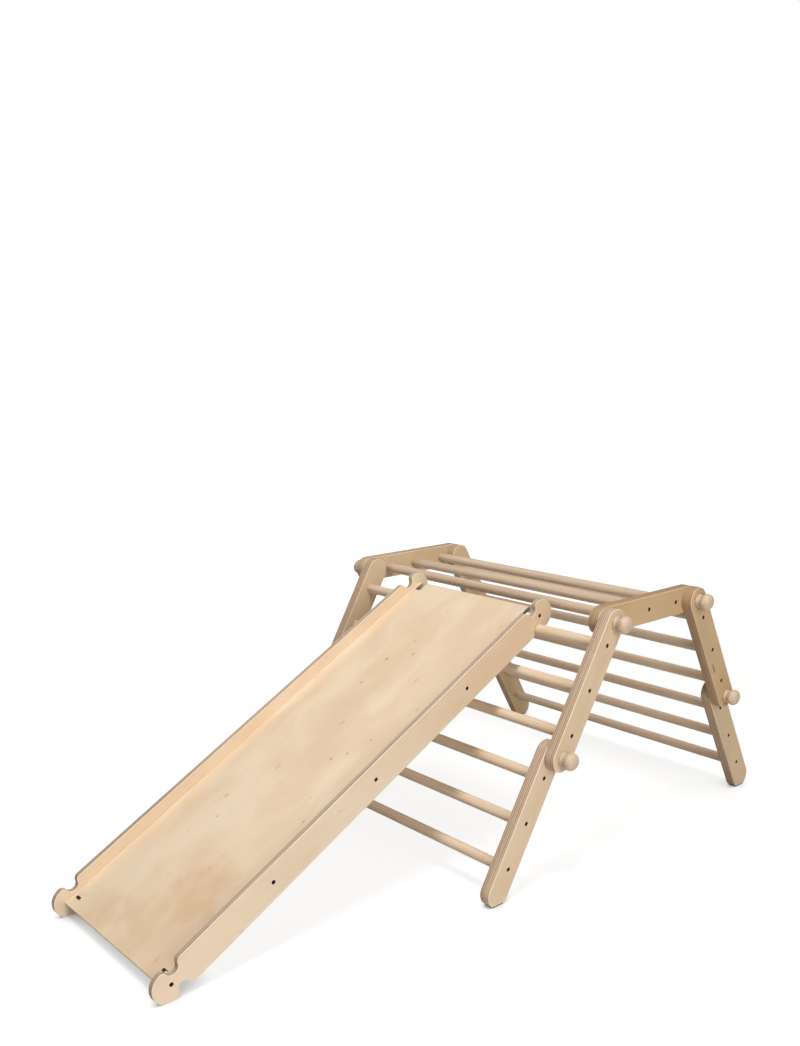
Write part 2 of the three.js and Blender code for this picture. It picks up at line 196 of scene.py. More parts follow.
class ShaderDesk(NodeDesk):
    """One material's node tree and the calls that fill it."""

    def __init__(self, name: str) -> None:
        """Starts an empty material with its output node.

        Args:
            name: name of the material.
        """
        self.material = bpy.data.materials.new(name)
        self.material.use_nodes = True
        super().__init__(self.material.node_tree)
        self.tree.nodes.clear()
        self.output = self.node("ShaderNodeOutputMaterial")

    def math(self, operation: str, *values: "Wire | float") -> Wire:
        """Adds a Math node."""
        made = self.node("ShaderNodeMath", {"operation": operation}, dict(enumerate(values)))
        return Wire(self, made.outputs[0])

    def smooth(self, value: Wire, low: float, high: float) -> Wire:
        """Smooth step from nought at low to one at high.

        Args:
            value: number to shape.
            low: value that gives nought.
            high: value that gives one.

        Returns:
            The number from nought to one.
        """
        settings = {"interpolation_type": "SMOOTHSTEP"}
        sockets = {"Value": value, "From Min": low, "From Max": high}
        made = self.node("ShaderNodeMapRange", settings, sockets)
        return Wire(self, made.outputs[0])

    def attribute(self, name: str) -> tuple[Wire, Wire]:
        """Vector and factor of a mesh attribute."""
        made = self.node("ShaderNodeAttribute", {"attribute_name": name})
        return Wire(self, made.outputs["Vector"]), Wire(self, made.outputs["Fac"])

    def parts(self, vector: Wire) -> tuple[Wire, Wire, Wire]:
        """The three numbers of a vector."""
        made = self.node("ShaderNodeSeparateXYZ", None, {0: vector})
        return tuple(Wire(self, made.outputs[i]) for i in range(3))

    def joined(self, x: "Wire | float", y: "Wire | float", z: "Wire | float") -> Wire:
        """A vector from three numbers."""
        made = self.node("ShaderNodeCombineXYZ", None, {0: x, 1: y, 2: z})
        return Wire(self, made.outputs[0])

    def stretched(self, vector: Wire, scale: Colour) -> Wire:
        """A vector multiplied axis by axis."""
        made = self.node("ShaderNodeVectorMath", {"operation": "MULTIPLY"}, {0: vector, 1: scale})
        return Wire(self, made.outputs[0])

    def noise(self, vector: Wire, scale: float, detail: float = 2.0, distortion: float = 0.0) -> Wire:
        """Soft noise from nought to one.

        Args:
            vector: place to read.
            scale: how fine it is.
            detail: layers of finer noise.
            distortion: how much it curls.

        Returns:
            The noise.
        """
        sockets = {"Vector": vector, "Scale": scale, "Detail": detail, "Distortion": distortion}
        made = self.node("ShaderNodeTexNoise", None, sockets)
        return Wire(self, made.outputs[0])

    def blend(self, factor: "Wire | float", first: "Wire | Colour", second: "Wire | Colour",
              mode: str = "MIX") -> Wire:
        """Mixes two colours.

        Args:
            factor: share of the second colour.
            first: colour where the factor is nought.
            second: colour where the factor is one.
            mode: way of mixing.

        Returns:
            The mixed colour.
        """
        ends = [value if isinstance(value, Wire) else (*value, 1.0) for value in (first, second)]
        settings = {"data_type": "RGBA", "blend_type": mode}
        made = self.node("ShaderNodeMix", settings, {"Factor": factor, 6: ends[0], 7: ends[1]})
        return Wire(self, made.outputs[2])

    def bump(self, height: Wire, distance: float, strength: float = 1.0) -> Wire:
        """Surface direction from a height in metres of distance.

        Args:
            height: relief.
            distance: its size, in metres.
            strength: its share.

        Returns:
            The direction.
        """
        sockets = {"Height": height, "Distance": distance, "Strength": strength}
        made = self.node("ShaderNodeBump", None, sockets)
        return Wire(self, made.outputs[0])

    def surface(self, sockets: dict) -> bpy.types.Material:
        """Closes the material with a Principled surface.

        Args:
            sockets: values or wires by socket name.

        Returns:
            The finished material.
        """
        made = self.node("ShaderNodeBsdfPrincipled", None, sockets)
        self.tree.links.new(made.outputs[0], self.output.inputs["Surface"])
        return self.material


# ---------------------------------------------------------------- finishes


@dataclass(frozen=True)
class Mark:
    """Soft oval spot in a sheet's own coordinates."""

    along: float
    across: float
    half_length: float
    half_width: float
    strength: float = 1.0


def as_marks(*rows: tuple[float, ...]) -> tuple[Mark, ...]:
    """Marks from rows of their numbers."""
    return tuple(Mark(*row) for row in rows)


@dataclass(frozen=True)
class PlyFinish:
    """Birch plywood: veneer on the faces and stacked plies on the edges."""

    name: str
    slot: str
    light: Colour
    warm: Colour
    pink: Colour
    ply_light: Colour
    ply_dark: Colour
    ply_pitch: float
    lip: Colour
    fleck_share: float
    cloud_scale: float
    cloud_depth: float
    roughness: float
    olive_tone_and_painted_shade: Colour = (0.8, 0.72, 0.58)
    stain: Colour = (0.69, 0.465, 0.27)
    bark: Colour = (0.2, 0.115, 0.06)
    hole_shade: Colour = (0.016, 0.01, 0.006)
    ply_wander: float = 0.9 * MM
    stains: tuple[Mark, ...] = ()
    flecks: tuple[Mark, ...] = ()

    def spots(self, desk: ShaderDesk, grain: Wire, marks: Sequence[Mark], inner: float,
              raggedness: float) -> Wire:
        """How much each place is covered by soft oval spots.

        Args:
            desk: the material's desk.
            grain: the sheet's own coordinates.
            marks: the spots.
            inner: squared share of a spot's size where it is at full strength.
            raggedness: how finely the spots' borders wander.

        Returns:
            The cover, from nought to one.
        """
        x, y, _ = desk.parts(grain)
        wobble = desk.noise(grain, raggedness, 2.0)
        total: Wire | float = 0.0
        for mark in marks:
            over_x = (x - mark.along) / mark.half_length
            over_y = (y - mark.across) / mark.half_width
            reach = over_x * over_x + over_y * over_y + (wobble - 0.5) * 1.4
            total = desk.math("MAXIMUM", total, desk.smooth(reach, 1.0, inner) * mark.strength)
        return total

    def veneer(self, desk: ShaderDesk, grain: Wire, fibre: Wire, streak: Wire) -> Wire:
        """Colour of the face veneer.

        Args:
            desk: the material's desk.
            grain: the sheet's own coordinates.
            fibre: fine noise along the grain.
            streak: broader noise along the grain.

        Returns:
            The colour.
        """
        cloud = desk.noise(desk.stretched(grain, (1.0, 1.9, 0.0)), self.cloud_scale, 3.0, 0.6)
        drift = desk.noise(desk.stretched(grain, (0.8, 1.5, 0.0)), self.cloud_scale * 0.5, 2.0, 1.0)
        colour = desk.blend(desk.smooth(cloud, 0.36, 0.68) * self.cloud_depth, self.light, self.warm)
        colour = desk.blend(desk.smooth(drift, 0.48, 0.74) * self.cloud_depth * 0.8, colour, self.pink)
        colour = desk.blend(desk.smooth(streak, 0.45, 0.8) * 0.16, colour, dimmed(self.warm, 0.8))
        colour = desk.blend(desk.smooth(fibre, 0.35, 0.8) * 0.13, colour, dimmed(self.warm, 0.84))
        if self.stains:
            colour = desk.blend(self.spots(desk, grain, self.stains, -0.2, 28.0) * 0.95, colour, self.stain)
        cells = desk.node("ShaderNodeTexVoronoi", {"voronoi_dimensions": "2D"}, {
            "Vector": desk.stretched(grain, (1.0, 2.6, 0.0)), "Scale": 11.0,
        })
        near = Wire(desk, cells.outputs["Distance"])
        chosen, _, _ = desk.parts(Wire(desk, cells.outputs["Color"]))
        fleck = desk.smooth(near, 0.06, 0.015) * (chosen > 1.0 - 0.5 * self.fleck_share)
        colour = desk.blend(fleck * 0.3, colour, self.bark)
        if self.flecks:
            colour = desk.blend(self.spots(desk, grain, self.flecks, 0.0, 230.0), colour, self.bark)
        return colour

    def build(self) -> bpy.types.Material:
        """Builds the material.

        Returns:
            The material.
        """
        desk = ShaderDesk(self.name)
        grain, _ = desk.attribute(GRAIN)
        _, edge = desk.attribute(EDGE)
        _, tone = desk.attribute(TONE_AND_SHADE)
        fibre = desk.noise(desk.stretched(grain, (26.0, 900.0, 0.0)), 1.0, 2.0)
        streak = desk.noise(desk.stretched(grain, (6.0, 150.0, 0.0)), 1.0, 3.0, 0.5)
        along, across, through = desk.parts(grain)
        ripple = desk.noise(desk.stretched(grain, (9.0, 9.0, 500.0)), 1.0, 1.0)
        wander = (ripple - 0.5) * self.ply_wander * desk.smooth(edge, 0.6, 0.9)
        wave = desk.math("SINE", (through + wander) * (math.pi / self.ply_pitch))
        layer_tone = desk.noise(desk.stretched(grain, (3.0, 3.0, 330.0)), 1.0, 0.0)
        glue = desk.smooth(desk.math("ABSOLUTE", wave), 0.35, 0.0)
        place = desk.joined(along * 160.0, across * 160.0, through * 900.0)
        endgrain = desk.noise(place, 1.0, 2.0)
        plies = desk.blend(desk.smooth(wave, -0.5, 0.25), self.ply_dark, self.ply_light)
        plies = desk.blend(desk.smooth(layer_tone, 0.4, 0.7) * 0.6, plies, self.ply_light)
        plies = desk.blend(glue * 0.3, plies, dimmed(self.ply_dark, 0.6))
        plies = desk.blend(desk.smooth(endgrain, 0.42, 0.75) * 0.25, plies, dimmed(self.ply_dark, 0.8))
        colour = desk.blend(desk.smooth(edge, 0.35, 0.8), self.veneer(desk, grain, fibre, streak), plies)
        lip = 1.0 - desk.math("ABSOLUTE", edge * 2.0 - 0.9)
        colour = desk.blend(desk.smooth(lip, 0.0, 0.9) * 0.75, colour, self.lip)
        # Tone tints the colour darker and more olive: partly the plate's own wood tone, partly painted shade
        # on plates that get less light.
        tint = desk.blend(tone, WHITE, self.olive_tone_and_painted_shade)
        colour = desk.blend(1.0, colour, tint, "MULTIPLY")
        # Edge values above one darken towards near black: painted shade in the screw recesses, and a
        # darkening of the board's walls near its slots and notches.
        colour = desk.blend(desk.smooth(edge, 1.05, 1.7), colour, self.hole_shade)
        height = fibre * 0.4 + streak * 0.6 + glue * desk.smooth(edge, 0.6, 0.9) * -0.9
        rough = self.roughness + 0.12 * (fibre - 0.5) + 0.16 * desk.smooth(edge, 0.5, 0.9)
        return desk.surface({
            "Base Color": colour,
            "Roughness": rough,
            "Normal": desk.bump(height, 0.00012, 0.6),
            "Coat Weight": 0.08,
            "Coat Roughness": 0.4,
        })


@dataclass(frozen=True)
class RodFinish:
    """Solid round rod with lengthwise grain."""

    name: str
    slot: str
    light: Colour
    warm: Colour
    dark: Colour
    roughness: float

    def build(self) -> bpy.types.Material:
        """Builds the material.

        Returns:
            The material.
        """
        desk = ShaderDesk(self.name)
        grain, _ = desk.attribute(GRAIN)
        broad = desk.noise(desk.stretched(grain, (2.2, 55.0, 55.0)), 1.0, 2.0, 0.5)
        streak = desk.noise(desk.stretched(grain, (9.0, 320.0, 320.0)), 1.0, 3.0, 0.2)
        pore = desk.noise(desk.stretched(grain, (60.0, 1500.0, 1500.0)), 1.0, 1.0)
        colour = desk.blend(desk.smooth(broad, 0.36, 0.66), self.light, self.warm)
        colour = desk.blend(desk.smooth(streak, 0.46, 0.76) * 0.5, colour, self.dark)
        colour = desk.blend(desk.smooth(pore, 0.62, 0.8) * 0.3, colour, dimmed(self.dark, 0.6))
        rough = self.roughness + 0.14 * (streak - 0.5)
        return desk.surface({
            "Base Color": colour,
            "Roughness": rough,
            "Normal": desk.bump(streak * 0.6 + pore * 0.4, 0.0001, 0.5),
            "Coat Weight": 0.1,
            "Coat Roughness": 0.4,
        })


@dataclass(frozen=True)
class TurnedFinish:
    """Pale turned wood whose growth rings stripe the outer face."""

    name: str
    slot: str
    light: Colour
    warm: Colour
    ring_pitch: float
    roughness: float

    def build(self) -> bpy.types.Material:
        """Builds the material.

        Returns:
            The material.
        """
        desk = ShaderDesk(self.name)
        grain, _ = desk.attribute(GRAIN)
        x, y, _ = desk.parts(grain)
        bend = desk.noise(desk.stretched(grain, (30.0, 30.0, 60.0)), 1.0, 1.0)
        reach = desk.math("POWER", (x - 0.01) * (x - 0.01) + (y + 0.06) * (y + 0.06), 0.5)
        ring = desk.math("SINE", (reach + bend * 0.0022) / self.ring_pitch * (2 * math.pi))
        fibre = desk.noise(desk.stretched(grain, (700.0, 700.0, 60.0)), 1.0, 2.0)
        colour = desk.blend(desk.smooth(ring, -0.2, 0.95) * 0.6, self.light, self.warm)
        colour = desk.blend(desk.smooth(fibre, 0.5, 0.8) * 0.35, colour, dimmed(self.warm, 0.75))
        return desk.surface({
            "Base Color": colour,
            "Roughness": self.roughness + 0.12 * (fibre - 0.5),
            "Normal": desk.bump(fibre * 0.6 + ring * 0.15, 0.0001, 0.4),
            "Coat Weight": 0.05,
            "Coat Roughness": 0.5,
        })


@dataclass(frozen=True)
class MetalFinish:
    """Plated steel with a slightly cloudy plating."""

    name: str
    slot: str
    base: Colour
    worn: Colour
    roughness: float
    metallic: float
    shine: float = 0.5

    def build(self) -> bpy.types.Material:
        """Builds the material.

        Returns:
            The material.
        """
        desk = ShaderDesk(self.name)
        place = Wire(desk, desk.node("ShaderNodeTexCoord").outputs["Object"])
        cloud = desk.noise(place, 420.0, 3.0, 0.4)
        fine = desk.noise(place, 2600.0, 2.0)
        colour = desk.blend(desk.smooth(cloud, 0.42, 0.7), self.base, self.worn)
        return desk.surface({
            "Base Color": colour,
            "Metallic": self.metallic,
            "Specular IOR Level": self.shine,
            "Roughness": self.roughness + 0.2 * (cloud - 0.5),
            "Normal": desk.bump(fine, 0.00004, 0.5),
        })


@dataclass(frozen=True)
class RubberFinish:
    """Matte black rubber with a fine pitted skin."""

    name: str
    slot: str
    base: Colour
    dusty: Colour

    def build(self) -> bpy.types.Material:
        """Builds the material.

        Returns:
            The material.
        """
        desk = ShaderDesk(self.name)
        place = Wire(desk, desk.node("ShaderNodeTexCoord").outputs["Object"])
        dust = desk.noise(place, 160.0, 4.0, 0.5)
        pits = desk.noise(place, 1900.0, 2.0)
        return desk.surface({
            "Base Color": desk.blend(desk.smooth(dust, 0.45, 0.8) * 0.7, self.base, self.dusty),
            "Roughness": 0.74 + 0.2 * dust,
            "Normal": desk.bump(pits, 0.0001, 0.6),
        })


@dataclass(frozen=True)
class FloorFinish:
    """Plain pale studio floor that reads as white, takes a faint real shadow through its matte share, and has
    painted contact shade under things close above it.
    """

    name: str = "pale_floor"
    near_glow: float = 0.84
    near: float = 1.3
    far: float = 3.6
    share: float = 0.65
    tone: float = 0.64
    painted_shade_reach: float = 0.07
    painted_contact_shade: Colour = (0.12, 0.1, 0.085)

    def build(self) -> bpy.types.Material:
        """Builds the material.

        Returns:
            The material.
        """
        desk = ShaderDesk(self.name)
        place = Wire(desk, desk.node("ShaderNodeTexCoord").outputs["Object"])
        cloud = desk.noise(place, 3.0, 3.0)
        seen = Wire(desk, desk.node("ShaderNodeLightPath").outputs["Is Camera Ray"])
        matte = desk.node("ShaderNodeBsdfPrincipled", None, {
            "Base Color": desk.blend(cloud, (self.tone,) * 3, (self.tone + 0.03,) * 3),
            "Roughness": 0.8 + 0.1 * cloud,
        })
        reach = desk.node("ShaderNodeVectorMath", {"operation": "LENGTH"}, {0: place})
        spread = desk.smooth(Wire(desk, reach.outputs["Value"]), self.near, self.far)
        glow = desk.blend(spread, (self.near_glow,) * 3, WHITE)
        # Painted contact shade: an occlusion node darkens the floor's glow to a dark colour where things
        # stand close above it.
        shade_occlusion = desk.node("ShaderNodeAmbientOcclusion", {"samples": 8}, {"Distance": self.painted_shade_reach})
        open_share = desk.smooth(Wire(desk, shade_occlusion.outputs["AO"]), 0.05, 0.8)
        glow = desk.blend(open_share, self.painted_contact_shade, glow)
        sheen = desk.node("ShaderNodeEmission", None, {"Color": glow, "Strength": 1.0 / self.share})
        mixed = desk.node("ShaderNodeMixShader", None, {0: seen * self.share})
        desk.tree.links.new(matte.outputs[0], mixed.inputs[1])
        desk.tree.links.new(sheen.outputs[0], mixed.inputs[2])
        desk.tree.links.new(mixed.outputs[0], desk.output.inputs["Surface"])
        return desk.material


FRAME_PLY = PlyFinish(
    name="frame_plywood", slot="plywood",
    light=(0.77, 0.595, 0.41), warm=(0.7, 0.525, 0.34), pink=(0.71, 0.5, 0.345),
    ply_light=(0.66, 0.5, 0.37), ply_dark=(0.36, 0.235, 0.15), ply_pitch=24 * MM / 11,
    lip=(0.9, 0.76, 0.6), fleck_share=0.16, cloud_scale=6.0, cloud_depth=0.8, roughness=0.52,
)
STREAKED_PLY = replace(
    FRAME_PLY, name="streaked_plywood",
    flecks=as_marks((0.188, 0.014, 0.018, 0.0028), (0.09, -0.02, 0.006, 0.001, 0.6)),
)
RAIL_PLY = PlyFinish(
    name="rail_plywood", slot="plywood",
    light=(0.83, 0.665, 0.485), warm=(0.77, 0.6, 0.42), pink=(0.77, 0.575, 0.41),
    ply_light=(0.62, 0.48, 0.36), ply_dark=(0.27, 0.185, 0.13), ply_pitch=12 * MM / 5,
    lip=(0.92, 0.78, 0.62), fleck_share=0.1, cloud_scale=5.0, cloud_depth=0.8, roughness=0.52,
)
# The one wide soft mark darkens and warms the near rail towards its head end: painted shade for the less
# light that end gets.
NEAR_RAIL_PLY = replace(RAIL_PLY, name="near_rail_plywood", stains=as_marks((0.98, 0.0, 0.33, 0.3, 0.5)))
BOARD_PLY = PlyFinish(
    name="board_plywood", slot="board_plywood",
    light=(0.86, 0.7, 0.51), warm=(0.8, 0.61, 0.42), pink=(0.78, 0.575, 0.41),
    ply_light=(0.5, 0.42, 0.34), ply_dark=(0.3, 0.24, 0.19), ply_pitch=9 * MM / 5,
    lip=(0.8, 0.66, 0.5), fleck_share=0.2, cloud_scale=6.5, cloud_depth=0.9, roughness=0.45,
    stains=as_marks(
        (0.175, -0.085, 0.11, 0.1, 0.8), (0.085, -0.02, 0.09, 0.1, 0.6), (0.05, 0.08, 0.06, 0.07, 0.5),
        (0.12, -0.08, 0.19, 0.15, 0.35), (0.64, 0.02, 0.1, 0.06, 0.3), (0.79, 0.04, 0.17, 0.06, 0.35),
        (0.93, 0.035, 0.1, 0.07, 0.3), (0.49, 0.035, 0.06, 0.04, 0.25), (0.55, -0.02, 0.07, 0.05, 0.2),
    ),
    flecks=as_marks(
        (0.478, 0.034, 0.01, 0.004, 0.3), (0.63, -0.005, 0.01, 0.005, 0.25),
        (0.788, -0.073, 0.009, 0.004, 0.25), (0.82, 0.05, 0.007, 0.003, 0.7),
        (0.542, -0.065, 0.005, 0.003, 0.8), (0.852, -0.002, 0.008, 0.002, 0.7),
        (0.568, -0.088, 0.005, 0.003, 0.6), (0.74, 0.05, 0.005, 0.003, 0.6),
        (0.326, 0.052, 0.006, 0.002, 0.6), (0.89, 0.026, 0.008, 0.002, 0.5),
        (0.372, 0.082, 0.007, 0.005, 0.35), (0.232, -0.05, 0.006, 0.002, 0.5),
        (0.617, -0.108, 0.004, 0.002, 0.6), (0.4, -0.142, 0.006, 0.002, 0.6),
        (0.05, -0.13, 0.01, 0.004, 0.2),
    ),
)
RUNG_WOOD = RodFinish(
    name="rung_wood", slot="rung_wood",
    light=(0.72, 0.56, 0.41), warm=(0.61, 0.45, 0.315), dark=(0.46, 0.33, 0.225), roughness=0.55,
)
PALE_RUNG_WOOD = replace(
    RUNG_WOOD, name="pale_rung_wood",
    light=(0.84, 0.67, 0.495), warm=(0.73, 0.56, 0.4), dark=(0.58, 0.43, 0.3),
)
KNOB_WOOD = TurnedFinish(
    name="turned_knob_wood", slot="turned_knob",
    light=(0.68, 0.53, 0.385), warm=(0.45, 0.325, 0.225), ring_pitch=2.9 * MM, roughness=0.55,
)
ZINC = MetalFinish(
    name="zinc_plate", slot="steel",
    base=(0.56, 0.57, 0.58), worn=(0.43, 0.44, 0.45), roughness=0.34, metallic=1.0,
)
YELLOW_ZINC = MetalFinish(
    name="yellow_zinc_plate", slot="insert_steel",
    base=(0.5, 0.46, 0.34), worn=(0.36, 0.33, 0.27), roughness=0.42, metallic=1.0,
)
BLACK_STEEL = MetalFinish(
    name="black_screw_steel", slot="steel",
    base=(0.015, 0.009, 0.005), worn=(0.045, 0.027, 0.016), roughness=0.7, metallic=0.2, shine=0.1,
)
PAD_RUBBER = RubberFinish("pad_rubber", "rubber_pad", (0.018, 0.016, 0.013), (0.06, 0.05, 0.04))


class Paints:
    """Materials by finish, each built once."""

    made: dict[str, bpy.types.Material] = {}

    @classmethod
    def of(cls, finish: object) -> bpy.types.Material:
        """The material of a finish.

        Args:
            finish: a finish with a name and a build method.

        Returns:
            The material.
        """
        if finish.name not in cls.made:
            cls.made[finish.name] = finish.build()
        return cls.made[finish.name]


# ---------------------------------------------------------------- mesh helpers


def settle(piece: bpy.types.Object, finish: object, body: str, nodes: Sequence[str] = ()) -> bpy.types.Object:
    """Dresses a finished piece, puts it on its body and hides the nodes it stands for.

    Args:
        piece: object whose place is in its mesh.
        finish: its finish.
        body: CAD body that it moves with.
        nodes: CAD nodes that it replaces.

    Returns:
        The piece.
    """
    piece.data.materials.clear()
    piece.data.materials.append(Paints.of(finish))
    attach(piece, body)
    if nodes:
        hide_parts(*nodes)
    LOG.info("%s rides on %s", piece.name, body)
    return piece


def object_from(bm: bmesh.types.BMesh, name: str) -> bpy.types.Object:
    """Turns a finished bmesh into an object at the origin.

    Args:
        bm: the mesh, which is freed.
        name: name of the object.

    Returns:
        The object, linked to the scene.
    """
    bmesh.ops.recalc_face_normals(bm, faces=bm.faces)
    mesh = bpy.data.meshes.new(name)
    bm.to_mesh(mesh)
    bm.free()
    piece = bpy.data.objects.new(name, mesh)
    bpy.context.scene.collection.objects.link(piece)
    return piece


def arc(centre: Vector, radius: float, start: float, end: float,
        step: float = math.radians(4.0)) -> list[Vector]:
    """Points of an arc in a sheet's plane.

    Args:
        centre: centre of the arc.
        radius: its radius.
        start: first angle, in radians.
        end: last angle.
        step: largest angle between two points.

    Returns:
        The points, both ends among them.
    """
    count = max(1, math.ceil(abs(end - start) / step))
    angles = [start + (end - start) * i / count for i in range(count + 1)]
    return [Vector((centre.x + radius * math.cos(a), centre.y + radius * math.sin(a))) for a in angles]


def tidy_loop(points: Sequence[Vector], nearest: float = 0.02 * MM) -> list[Vector]:
    """Drops repeated points of a closed line.

    Args:
        points: the closed line.
        nearest: points closer than this are one.

    Returns:
        The line without repeats.
    """
    kept: list[Vector] = []
    for point in points:
        if not kept or (point - kept[-1]).length > nearest:
            kept.append(point)
    if (kept[0] - kept[-1]).length <= nearest:
        kept.pop()
    return kept


def softened(points: Sequence[Vector], turn: float = math.radians(15.0),
             cut: float = 1.0 * MM) -> list[Vector]:
    """Rounds each sharp corner of a closed line a little.

    Args:
        points: the closed line.
        turn: a corner that turns more than this is rounded.
        cut: how far along each side the rounding starts.

    Returns:
        The line with its corners rounded.
    """
    out: list[Vector] = []
    count = len(points)
    for i, here in enumerate(points):
        before = here - points[i - 1]
        after = points[(i + 1) % count] - here
        if before.length < 1e-9 or after.length < 1e-9 or before.angle(after) < turn:
            out.append(here)
            continue
        reach = min(cut, 0.45 * before.length, 0.45 * after.length)
        start = here - before.normalized() * reach
        end = here + after.normalized() * reach
        for t in (0.0, 0.25, 0.5, 0.75, 1.0):
            out.append(start * (1 - t) ** 2 + here * 2 * t * (1 - t) + end * t * t)
    return out


class Side(Enum):
    """Face of a sheet that a recess is cut into."""

    LOW = 0
    HIGH = 1


@dataclass
class Recess:
    """Blind round hole in one face of a sheet."""

    centre: Vector
    radius: float
    depth: float
    side: Side
    lip: float = 0.35 * MM


@dataclass
class Sheet:
    """Flat sheet with eased edges, holes and recesses, cut in its own plane."""

    name: str
    place: Matrix
    outline: list[Vector]
    thickness: float
    easing: float
    seed: int
    # Share of the darker, more olive tint: partly wood tone, partly painted shade.
    tone: float = 0.0
    squared: bool = False
    shaded: list[tuple[Vector, float]] = field(default_factory=list)
    slots: list[list[Vector]] = field(default_factory=list)
    recesses: list[Recess] = field(default_factory=list)
    steps: int = 3

    def __post_init__(self) -> None:
        """Draws where in the veneer this sheet was cut."""
        draw = random.Random(self.seed)
        self.shift = Vector((draw.uniform(0, 40), draw.uniform(0, 40), 0.0))
        if self.squared:
            self.shift = Vector((0.0, 0.0, 0.0))

    def outward(self, loop: Sequence[Vector], hole: bool) -> list[Vector]:
        """Directions out of the material along a closed line that runs anticlockwise.

        Args:
            loop: the line.
            hole: whether it bounds a hole.

        Returns:
            One direction for each point.
        """
        found = []
        count = len(loop)
        for i in range(count):
            before = (loop[i] - loop[i - 1]).normalized()
            after = (loop[(i + 1) % count] - loop[i]).normalized()
            run = (before + after).normalized()
            normal = Vector((run.y, -run.x)) / max(0.5, math.sqrt((1 + before.dot(after)) / 2))
            found.append(-normal if hole else normal)
        return found

    def rings(self, bm: bmesh.types.BMesh, loop: Sequence[Vector], hole: bool,
              profile: Sequence[Colour]) -> list[list[bmesh.types.BMVert]]:
        """Adds a wall of rings along a closed line.

        Args:
            bm: mesh to fill.
            loop: the closed line.
            hole: whether the line bounds a hole.
            profile: inset, height and edge value of each ring.

        Returns:
            The rings of vertices, in the profile's order.
        """
        grain = bm.verts.layers.float_vector[GRAIN]
        edge = bm.verts.layers.float[EDGE]
        tone = bm.verts.layers.float[TONE_AND_SHADE]
        normals = self.outward(loop, hole)
        made = []
        for inset, height, value in profile:
            ring = []
            for point, normal in zip(loop, normals):
                spot = point - normal * inset
                vert = bm.verts.new(self.place @ Vector((spot.x, spot.y, height)))
                vert[grain] = Vector((spot.x, spot.y, height)) + self.shift
                # Walls near the listed spots get half again their edge value, which the plywood material
                # turns into a darkening.
                dark = any((point - middle).length < reach for middle, reach in self.shaded)
                vert[edge] = value * 1.5 if dark else value
                vert[tone] = self.tone
                ring.append(vert)
            made.append(ring)
        for low, high in zip(made, made[1:]):
            for i in range(len(low)):
                j = (i + 1) % len(low)
                face = bm.faces.new((low[i], low[j], high[j], high[i]))
                face.smooth = True
        return made

    def wall_profile(self) -> list[Colour]:
        """Rounded edge, flat wall and rounded edge, from the low face to the high one.

        Returns:
            Inset, height and edge value of each ring.
        """
        rise = []
        for k in range(self.steps + 1):
            angle = math.pi / 2 * k / self.steps
            inset, height = self.easing * (1 - math.sin(angle)), self.easing * (1 - math.cos(angle))
            rise.append((inset, height, k / self.steps))
        fall = [(inset, self.thickness - height, value) for inset, height, value in reversed(rise)]
        return rise + fall

    def recess_profile(self, recess: Recess) -> list[Colour]:
        """Chamfered mouth, wall and floor edge of a recess.

        Args:
            recess: the recess.

        Returns:
            Inset, height and edge value of each ring.
        """
        lip = recess.lip
        # Edge values above one on the recess wall and floor become painted shade in the plywood material.
        heights = [(lip, 0.0, 0.0), (0.0, lip, 0.45), (0.0, lip * 2, 1.3), (0.0, recess.depth, 2.0)]
        if recess.side is Side.LOW:
            return heights
        return [(inset, self.thickness - height, value) for inset, height, value in heights]

    def build(self) -> bpy.types.Object:
        """Builds the sheet's object.

        Returns:
            The object.
        """
        bm = bmesh.new()
        bm.verts.layers.float_vector.new(GRAIN)
        bm.verts.layers.float.new(EDGE)
        bm.verts.layers.float.new(TONE_AND_SHADE)
        caps: dict[Side, list[list[bmesh.types.BMVert]]] = {Side.LOW: [], Side.HIGH: []}
        for loop, hole in [(self.outline, False), *((slot, True) for slot in self.slots)]:
            made = self.rings(bm, loop, hole, self.wall_profile())
            caps[Side.LOW].append(made[0])
            caps[Side.HIGH].append(made[-1])
        for recess in self.recesses:
            circle = arc(recess.centre, recess.radius, 0.0, 2 * math.pi, math.radians(15.0))[:-1]
            made = self.rings(bm, circle, True, self.recess_profile(recess))
            caps[recess.side].append(made[0])
            bm.faces.new(made[-1])
        bm.verts.ensure_lookup_table()
        for loops in caps.values():
            edges = []
            for ring in loops:
                for i, vert in enumerate(ring):
                    after = ring[(i + 1) % len(ring)]
                    edges.append(bm.edges.get((vert, after)))
            made = bmesh.ops.triangle_fill(bm, use_beauty=True, use_dissolve=False, edges=edges)
            for item in made["geom"]:
                if isinstance(item, bmesh.types.BMFace):
                    item.smooth = False
        return object_from(bm, self.name)


def smooth_profile(points: Sequence[tuple[float, float]], steps: int) -> list[tuple[float, float]]:
    """Runs a smooth line through profile points.

    Args:
        points: radius and height of each point, in millimetres.
        steps: pieces between two points.

    Returns:
        The smooth line, in millimetres.
    """
    out = []
    last = len(points) - 1
    for i in range(last):
        a, b, c, d = (Vector(points[k]) for k in (max(i - 1, 0), i, i + 1, min(i + 2, last)))
        for step in range(steps):
            t = step / steps
            bend, twist = 2 * a - 5 * b + 4 * c - d, 3 * b - a - 3 * c + d
            spot = 0.5 * (2 * b + (c - a) * t + bend * t * t + twist * t ** 3)
            out.append((max(spot.x, 0.0), spot.y))
    out.append(tuple(points[-1]))
    return out


